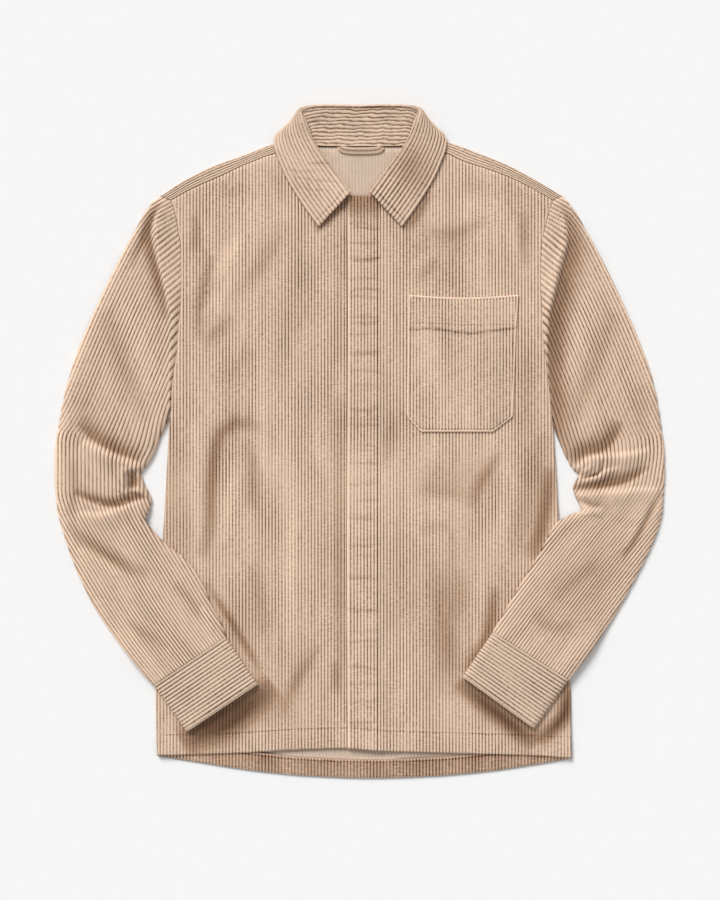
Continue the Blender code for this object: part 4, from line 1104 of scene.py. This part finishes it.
class Sleeve:
    """Plan and heights of one sleeve, read at any share of the way across."""

    def __init__(self, sign, front, sections, ridge, lead, shoulder, fold_table):
        self.sign = sign
        self.front = front
        self.sections = np.array(sections)
        self.ridge = ridge
        self.lead = lead
        self.folds = fold_table
        places = np.linspace(front.side[-1][0], ARMPIT[sign], 40)
        hole = np.column_stack([curve(front.side, places) + sign * SEAM, places])
        hole[0, 1] -= SEAM
        self.armhole = np.concatenate([[(shoulder[0], shoulder[1] - SEAM)], hole])

    def head(self, line, shares):
        """Points of a line at even spacings across the sleeve's wales."""
        line = along_line(line, 60) if len(line) < 20 else np.array(line)
        slant = np.radians(WALE_SLANT)
        across = line @ np.array([-self.sign * np.cos(slant), -np.sin(slant)])
        across = np.maximum.accumulate(across)
        place = across[0] + shares * (across[-1] - across[0])
        return np.stack([np.interp(place, across, line[:, i]) for i in (0, 1)], axis=-1)

    def plan(self, shares):
        """x and y on fine rows from the armhole to the cuff."""
        outer, inner = self.sections[:, None, :2], self.sections[:, None, 2:4]
        rows = outer + shares[None, :, None] * (inner - outer)
        heads = [self.head(line, shares) for line in (self.armhole, self.ridge)]
        rows = np.concatenate([heads, rows])
        middle = rows[:, len(shares) // 2]
        outside = rows[:, 0]
        step = np.linalg.norm(np.diff(middle, axis=0), axis=1)
        step = np.maximum(step, 0.6 * np.linalg.norm(np.diff(outside, axis=0), axis=1))
        reach = np.append(0, np.cumsum(step))
        table = np.column_stack([reach, rows.reshape(len(rows), -1)])
        fine = curve(table, np.linspace(0, reach[-1], round(reach[-1] / 2.2)))
        return fine.reshape(len(fine), len(shares), 2), self.head_share(reach, len(fine))

    def head_share(self, reach, count):
        """For each fine row, 0 at the armhole and 1 from the ridge on."""
        return np.clip(np.linspace(0, reach[-1], count) / reach[1], 0, 1)[:, None]

    def across(self, x, y, head):
        """Distance across the wales. They bend at the elbow and turn at the armhole."""
        elbow = bell(y + 15, 35)
        bent = y - ELBOW_TILT[self.sign] * (np.abs(x) - 306) * elbow
        distance = -self.sign * (x - curve(self.lead, bent)) * PITCH / SLEEVE_PITCH
        depth, _ = beside(x, y, along_line(self.ridge, 30))
        inside = np.abs(depth) * smoothstep((1 - head) / 0.1)
        return distance - CAP_TURN * inside

    def ground(self, x, y):
        """Height that the sleeve lies on: the floor, or the front where it lies on that."""
        outside = self.sign * (x - curve(self.front.side, y))
        climb = 1 - smoothstep((outside - RAMP_END) / (RAMP_START - RAMP_END))
        climb = climb * smoothstep((RAMP_ROWS[0] - y) / (RAMP_ROWS[0] - RAMP_ROWS[1]))
        return climb * (self.front.smooth(x, y) + WALE + SLEEVE_CLEARANCE)

    def crown(self, plan, head):
        """Height of the cloth's top above the ground, its folds included."""
        x, y = plan[..., 0], plan[..., 1]
        across = reach_of(plan, 1)
        edge = np.minimum(across, across[:, -1:] - across)
        rounding = np.sqrt(1 - (1 - np.clip(edge / EDGE_ROUNDING, 0, 1)) ** 2)
        height = SLEEVE_HEIGHT + 0.45 * ripple(x, y, 3 - self.sign)
        height = height + folds(x, y, self.folds)
        height = np.maximum(height, 3.4)
        body = EDGE_HEIGHT + (height - EDGE_HEIGHT) * rounding
        seam = FRONT_UNDER + CLOTH - 0.4
        blend = np.sin(head * np.pi / 2)
        return seam * (1 - blend) + body * blend


def hollow(plan, floor, top):
    """Rings of the lining in a flat tube: over its roof, then back along its bottom."""
    bottom = floor + CLOTH
    roof = np.minimum(top - CLOTH, bottom + SLEEVE_HOLLOW)
    roof = np.maximum(roof, bottom + SEAM)
    return np.concatenate([np.dstack([plan, roof]), np.dstack([plan, bottom])[:, ::-1]], axis=1)


def tube(name, top, under, lining, wales, places, under_places, material, shade=0.0):
    """A flattened tube, open at both ends: a ribbed top, a plain underside and a lining."""
    columns = top.shape[:2]
    plain = under.shape[:2]
    piece = Piece(name)
    outside = piece.grid(
        np.concatenate([top, under], axis=1),
        np.concatenate([np.broadcast_to(wales, columns), np.full(plain, 0.5)], axis=1),
        np.concatenate([places, under_places], axis=1),
        np.concatenate([np.broadcast_to(shade, columns), np.zeros(plain)], axis=1),
        ring=True,
    )
    inside = piece.grid(lining, 0.4, ring=True)
    piece.join_ends(outside, columns[1], inside, lining.shape[1] // 2)
    return piece.finish(material)


def make_sleeve(name, sleeve, material):
    """The flattened sleeve, its top raised by its folds and finely ribbed."""
    shares = np.linspace(0, 1, SLEEVE_COLUMNS + 1)
    plan, head = sleeve.plan(shares)
    x, y = plan[..., 0], plan[..., 1]
    floor = sleeve.ground(x, y)
    smooth = floor + sleeve.crown(plan, head)
    distance = sleeve.across(x, y, head)
    ribs = wale(distance)
    # Painted shade in the folds' troughs and painted light on their crests, and a painted highlight
    # along the sleeve's outer edge and at the armhole
    tone = FOLD_TONE * np.clip(folds(x, y, sleeve.folds), -6, 0.8)
    tone = tone + 0.22 * bell(reach_of(plan, 1), 9) + 0.12 * bell(head * 14)
    top = np.dstack([plan, smooth])
    square = normals(top)
    square = square * np.sign(square[..., 2:3] + 1e-9)
    top = top + square * (WALE * ribs)[..., None]
    places = np.stack([distance, reach_of(plan, 0)], axis=-1)
    picks = np.round(np.linspace(len(shares) - 4, 3, 14)).astype(int)
    under = np.dstack([plan[:, picks], floor[:, picks] + 0.05])
    lined = np.round(np.linspace(0.04, 0.96, 12) * SLEEVE_COLUMNS).astype(int)
    lining = hollow(plan[:, lined], floor[:, lined], smooth[:, lined])[every(len(plan), 4)]
    return tube(name, top, under, lining, ribs, places, places[:, picks], material, -tone)


def make_cuff(name, sleeve, hand, material):
    """The band at the hand, its wales round the wrist."""
    start = np.array([sleeve.sections[-1, :2], sleeve.sections[-1, 2:4]])
    way = np.array(hand) - start
    start = start + 0.08 * unit(way)
    way = np.array(hand) - start
    length = np.linalg.norm(way[0])
    width = np.linalg.norm(start[0] - start[1])
    along = np.linspace(0, 1, CUFF_WALES * POINTS_A_WALE + 1)
    corners = start + along[:, None, None] * way

    def plan(across):
        return corners[:, :1] + across[None, :, None] * (corners[:, 1:] - corners[:, :1])

    def lie(points):
        return sleeve.ground(points[..., 0], points[..., 1])

    def crown(across):
        edge = np.minimum(across, 1 - across) * width
        rounding = np.sqrt(1 - (1 - np.clip(edge / CUFF_ROUNDING, 0, 1)) ** 2)
        return EDGE_HEIGHT + (CUFF_HEIGHT - EDGE_HEIGHT) * rounding

    ease = (1 - np.cos(np.pi * np.linspace(0, 1, CUFF_COLUMNS))) / 2
    fine = plan(ease)
    from_seam, from_end = along[:, None] * length, (1 - along[:, None]) * length
    ribs = wale(from_seam + 1.0, length / CUFF_WALES, 2.5)
    lift = rim(from_end, 1.6, 0.8) + 0.5 * bell(from_seam, 2.2)
    lift = lift + groove(from_seam - CUFF_STITCH, 1.0, 0.5)
    lift = lift + 0.2 * ripple(fine[..., 0], fine[..., 1], 9)
    top = np.dstack([fine, lie(fine) + crown(ease) + lift + CUFF_WALE * ribs])
    tops[name] = top
    places = np.stack(np.broadcast_arrays(from_seam, ease * width), axis=-1)
    below = plan(np.linspace(0.97, 0.03, 8))
    under = np.dstack([below, lie(below) + 0.05])
    lined = np.linspace(0.03, 0.97, 12)
    inner = plan(lined)[every(len(along), 8)]
    lining = hollow(inner, lie(inner), lie(inner) + crown(lined))
    # Painted highlight along the cuff's rolled end and its raised seam with the sleeve, and painted
    # shade along its stitches near the hand
    hem = 0.5 * bell(from_end, 1.6) - 0.3 * bell(from_end - CUFF_STITCH, 0.9)
    colour = ribs + 0.5 * bell(from_seam, 1.8) + hem
    return tube(name, top, under, lining, colour, places, np.zeros((*below.shape[:2], 2)),
                material)


class Nodes:
    """A material's node tree, with short calls to add and join nodes."""

    def __init__(self, name):
        self.material = bpy.data.materials.new(name)
        self.material.use_nodes = True
        self.tree = self.material.node_tree
        self.shader = self.tree.nodes["Principled BSDF"]

    def add(self, kind, **settings):
        node = self.tree.nodes.new(kind)
        for key, value in settings.items():
            setattr(node, key, value)
        return node

    def link(self, out, into):
        self.tree.links.new(out, into)

    def attribute(self, name):
        return self.add("ShaderNodeAttribute", attribute_name=name)

    def noise(self, vector, scale, detail=3.0, stretch=(1, 1, 1)):
        """Noise of a size in 1/m over the cloth, stretched along or across it."""
        mapping = self.add("ShaderNodeMapping")
        mapping.inputs["Scale"].default_value = stretch
        self.link(vector, mapping.inputs["Vector"])
        node = self.add("ShaderNodeTexNoise")
        node.inputs["Scale"].default_value = scale
        node.inputs["Detail"].default_value = detail
        self.link(mapping.outputs["Vector"], node.inputs["Vector"])
        return node.outputs["Fac"]

    def maths(self, operation, first, second):
        node = self.add("ShaderNodeMath", operation=operation)
        for socket, value in zip(node.inputs, (first, second)):
            if isinstance(value, (int, float)):
                socket.default_value = value
            else:
                self.link(value, socket)
        return node.outputs["Value"]

    def total(self, first, *others):
        """The sum of several values."""
        for other in others:
            first = self.maths("ADD", first, other)
        return first

    def swing(self, noise, amount):
        """A noise taken around 0, times an amount."""
        return self.maths("MULTIPLY", self.maths("SUBTRACT", noise, 0.5), amount)

    def ramp(self, value, stops):
        node = self.add("ShaderNodeValToRGB")
        elements = node.color_ramp.elements
        while len(elements) < len(stops):
            elements.new(0.5)
        for element, (place, colour) in zip(elements, stops):
            element.position = place
            element.color = (*colour, 1)
        self.link(value, node.inputs["Fac"])
        return node.outputs["Color"]

    def tint(self, colour, value, low, high):
        """The colour times a grey that runs from low to high with a value."""
        grey = self.add("ShaderNodeMapRange")
        grey.inputs["From Min"].default_value = 0.3
        grey.inputs["From Max"].default_value = 0.7
        grey.inputs["To Min"].default_value = low
        grey.inputs["To Max"].default_value = high
        self.link(value, grey.inputs["Value"])
        mix = self.add("ShaderNodeVectorMath", operation="SCALE")
        self.link(colour, mix.inputs[0])
        self.link(grey.outputs["Result"], mix.inputs["Scale"])
        return mix.outputs["Vector"]

    def bump(self, height, distance, strength):
        node = self.add("ShaderNodeBump")
        node.inputs["Distance"].default_value = distance
        node.inputs["Strength"].default_value = strength
        self.link(height, node.inputs["Height"])
        self.link(node.outputs["Normal"], self.shader.inputs["Normal"])

    def surface(self, colour, **settings):
        """The shader's colour, and on its own sockets the numbers that are the same all over."""
        self.link(colour, self.shader.inputs["Base Color"])
        for name, value in settings.items():
            self.shader.inputs[name.replace("_", " ")].default_value = value


def srgb(red, green, blue):
    """Linear colour of an 8-bit display colour."""
    share = np.array([red, green, blue]) / 255
    return tuple(np.where(share < 0.04045, share / 12.92, ((share + 0.055) / 1.055) ** 2.4))


def cord_material(name, ridge, groove_colour):
    """Brushed cotton corduroy: pale pile on the wales, darker ground in the grooves."""
    nodes = Nodes(name)
    place = nodes.attribute("cloth").outputs["Vector"]
    ribs = nodes.attribute("wale").outputs["Fac"]
    pile = nodes.noise(place, 900, 4, (1.0, 0.32, 1.0))
    tick = nodes.noise(place, 430, 2, (0.30, 1.0, 1.0))
    patch = nodes.noise(place, 26, 3, (1.0, 0.45, 1.0))
    streak = nodes.noise(place, 85, 2, (1.0, 0.06, 1.0))
    brushed = nodes.noise(place, 13, 3, (1.0, 0.6, 1.0))
    fuzz = nodes.noise(place, 2600, 2)
    ground = nodes.maths("SUBTRACT", 1.0, ribs)
    filled = nodes.maths("MULTIPLY", nodes.swing(patch, ground), 1.3)
    ticks = nodes.swing(tick, nodes.maths("MULTIPLY", patch, 1.5))
    warm = nodes.swing(brushed, 0.5)
    height = nodes.total(ribs, nodes.swing(pile, 0.5), ticks, filled, warm, 0.6)
    height = nodes.maths("MULTIPLY", height, 0.625)
    middle = tuple(0.45 * a + 0.55 * b for a, b in zip(groove_colour, ridge))
    # The darkest colour, reached where painted shade lines and the noises bring the value below a
    # groove's
    deep = tuple(0.45 * a for a in groove_colour)
    colour = nodes.ramp(height, [(0.0, deep), (0.36, groove_colour), (0.63, middle), (0.93, ridge)])
    colour = nodes.tint(colour, streak, 0.94, 1.05)
    colour = nodes.tint(colour, fuzz, 0.95, 1.05)
    shade = nodes.attribute("shade").outputs["Fac"]
    shade = nodes.maths("MULTIPLY", nodes.maths("ADD", shade, 0.25), 0.8)
    shade_colour = nodes.ramp(shade, SHADE_COLOURS)
    mix = nodes.add("ShaderNodeVectorMath", operation="MULTIPLY")
    nodes.link(colour, mix.inputs[0])
    nodes.link(shade_colour, mix.inputs[1])
    nodes.surface(mix.outputs["Vector"], Roughness=0.95, Specular_IOR_Level=0.05,
                  Sheen_Weight=0.05, Sheen_Roughness=0.5, Sheen_Tint=(*ridge, 1))
    nodes.bump(nodes.maths("ADD", pile, nodes.maths("MULTIPLY", fuzz, 0.6)), 0.0006, 0.5)
    return nodes.material


def plain_inside_material():
    """The plain wrong side: a pale twill with fine lines along the wales."""
    nodes = Nodes("inside_cloth")
    place = nodes.attribute("cloth").outputs["Vector"]
    split = nodes.add("ShaderNodeSeparateXYZ")
    nodes.link(place, split.inputs["Vector"])
    wave = nodes.maths("SINE", nodes.maths("MULTIPLY", split.outputs["X"], 2 * np.pi / INSIDE_LINES), 0)
    streak = nodes.noise(place, 700, 3, (1.0, 0.12, 1.0))
    mottle = nodes.noise(place, 20, 3)
    weave = nodes.noise(place, 2200, 2)
    lines = nodes.maths("ADD", nodes.maths("MULTIPLY", wave, 0.16), streak)
    colour = nodes.ramp(lines, [(0.2, srgb(190, 167, 147)), (0.8, srgb(214, 194, 175))])
    colour = nodes.tint(colour, mottle, 0.93, 1.07)
    colour = nodes.tint(colour, weave, 0.94, 1.06)
    nodes.surface(colour, Roughness=0.9, Specular_IOR_Level=0.2, Sheen_Weight=0.1)
    nodes.bump(nodes.maths("ADD", lines, weave), 0.0004, 0.4)
    return nodes.material


def thread_material():
    nodes = Nodes("thread")
    twist = nodes.noise(nodes.attribute("cloth").outputs["Vector"], 3000, 2)
    colour = nodes.ramp(twist, [(0.3, srgb(176, 142, 114)), (0.7, srgb(206, 174, 146))])
    nodes.surface(colour, Roughness=0.8)
    nodes.bump(twist, 0.0002, 0.4)
    return nodes.material


def floor_material():
    nodes = Nodes("floor_paper")
    place = nodes.add("ShaderNodeTexCoord").outputs["Object"]
    grain = nodes.noise(place, 60, 2)
    colour = nodes.ramp(grain, [(0.3, (0.87, 0.87, 0.87)), (0.7, (0.88, 0.88, 0.88))])
    nodes.surface(colour, Roughness=1.0, Specular_IOR_Level=0.0)
    return nodes.material


def make_floor():
    mesh = bpy.data.meshes.new("floor")
    half = FLOOR_HALF
    mesh.from_pydata([(-half, -half, 0), (half, -half, 0), (half, half, 0), (-half, half, 0)],
                     [], [(0, 1, 2, 3)])
    mesh.materials.append(floor_material())
    floor = bpy.data.objects.new("floor", mesh)
    floor.location.z = -FLOOR_DROP
    bpy.context.scene.collection.objects.link(floor)


def make_light(name, place, angle, power):
    """A wide, soft light so far off that it lights the whole floor evenly."""
    light = bpy.data.lights.new(name, "SUN")
    light.angle = angle
    light.energy = power
    lamp = bpy.data.objects.new(name, light)
    lamp.location = place
    lamp.rotation_euler = (-lamp.location).to_track_quat("-Z", "Y").to_euler()
    bpy.context.scene.collection.objects.link(lamp)


def make_camera():
    """Straight above, its frame's long side 1.125 m on the floor."""
    distance, long_side, sensor = 3.0, 1.125, 36.0
    camera = bpy.data.cameras.new("camera")
    camera.sensor_width = sensor
    camera.lens = sensor * distance / long_side
    eye = bpy.data.objects.new("camera", camera)
    eye.location = (0.0006, -0.0106, distance)
    bpy.context.scene.collection.objects.link(eye)
    bpy.context.scene.camera = eye


def light_scene():
    world = bpy.data.worlds.new("studio")
    world.use_nodes = True
    background = world.node_tree.nodes["Background"]
    background.inputs["Color"].default_value = (1, 1, 1, 1)
    background.inputs["Strength"].default_value = 0.49
    bpy.context.scene.world = world
    make_light("key", (-0.9, 1.7, 1.6), 0.45, 2.8)
    bpy.context.scene.view_settings.view_transform = "Standard"


cord = cord_material("corduroy", srgb(228, 200, 176), srgb(78, 40, 16))
cuff_cord = cord_material("cuff_corduroy", srgb(221, 194, 171), srgb(54, 25, 8))
inside = plain_inside_material()
# Darker corduroy for the back's hem band: partly its own tone, partly painted shade, as it lies under
# the front's hem
hem_cord = cord_material("hem_corduroy", srgb(213, 182, 157), srgb(104, 68, 44))
thread = thread_material()

right = Front(-1, UNDERLAP_EDGE, UNDERLAP_EDGE - PLACKET_LEFT, SIDE_RIGHT, FRONT_TOP_RIGHT,
              LOFT_RIGHT, CREASES_RIGHT, SHADOWS_RIGHT)
left = Front(1, PLACKET_RIGHT, 0.0, SIDE_LEFT, FRONT_TOP_LEFT, LOFT_LEFT,
             CREASES_LEFT, SHADOWS_LEFT)
right_arm = Sleeve(-1, right, SLEEVE_RIGHT, CAP_RIDGE_RIGHT, LEAD_RIGHT,
                   YOKE_RIGHT[0][2:], FOLDS_RIGHT)
left_arm = Sleeve(1, left, SLEEVE_LEFT, CAP_RIDGE_LEFT, LEAD_LEFT,
                  YOKE_LEFT[0][2:], FOLDS_LEFT)

back_cloth, hem_cloth = make_back(inside), make_back_hem(hem_cord)
leaf_cloth, stand_cloth = make_leaf(cord), make_stand(cord)
pieces = [
    # piece, the node it replaces, its flat size, its share of that, what it rests on
    (make_front("front_right_cloth", right, cord), "front_right", (0.269, 0.757), 0.913,
     "back_cloth"),
    (make_front("front_left_cloth", left, cord), "front_left", (0.238, 0.757), 0.904,
     "back_cloth"),
    (make_placket(cord), "placket", (0.041, 0.693), 1.0, "front_right_cloth"),
    (make_pocket(left, cord), "pocket", (0.14, 0.172), 0.97, "front_left_cloth"),
    (back_cloth, "back_panel", (0.519, 0.79), 0.90, "floor"),
    (make_yoke("yoke_right_cloth", YOKE_RIGHT, cord), "shoulder_yoke_right", (0.19, 0.03), 1.0,
     "back_cloth"),
    (make_yoke("yoke_left_cloth", YOKE_LEFT, cord), "shoulder_yoke_left", (0.19, 0.03), 1.0,
     "back_cloth"),
    (stand_cloth, "collar_stand", (0.26, 0.047), 0.695, "back_cloth"),
    (leaf_cloth, "collar_leaf", (0.40, 0.056), 0.9, "front_right_cloth"),
    (make_loop(cord), "hanger_loop", (0.06, 0.010), 0.8, "back_cloth"),
    (make_sleeve("sleeve_right_cloth", right_arm, cord), "sleeve_right", (0.38, 0.62), 0.637,
     "front_right_cloth"),
    (make_sleeve("sleeve_left_cloth", left_arm, cord), "sleeve_left", (0.38, 0.62), 0.637,
     "front_left_cloth"),
    (make_cuff("cuff_right_cloth", right_arm, CUFF_RIGHT_END, cuff_cord), "cuff_right",
     (0.22, 0.071), 1.0, "front_right_cloth"),
    (make_cuff("cuff_left_cloth", left_arm, CUFF_LEFT_END, cuff_cord), "cuff_left",
     (0.22, 0.071), 1.0, "front_left_cloth"),
]
stitch_lines = {
    "front_right_cloth": [above_hem(-249.0, -18.0)],
    "front_left_cloth": [above_hem(28.5, 260.0)],
    "placket_cloth": [
        above_hem(-13.0, 24.0, 12), [(PLACKET_STITCH_X, y) for y in PLACKET_STITCH_ENDS],
    ],
    "pocket_cloth": pocket_lines(),
    "cuff_right_cloth": [tops["cuff_right_cloth"][-7, 4:-4:3, :2]],
    "cuff_left_cloth": [tops["cuff_left_cloth"][-7, 4:-4:3, :2]],
    "collar_leaf_cloth": [tops["collar_leaf_cloth"][row, 20:-6:3, :2] for row in (4, -5)],
}
sewing = {
    name: make_stitches(name.replace("cloth", "stitches"), tops[name], lines, thread)
    for name, lines in stitch_lines.items()
}

for piece, node, flat, share, ground in pieces:
    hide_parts(node)
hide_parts("back_panel")

make_floor()
light_scene()
make_camera()
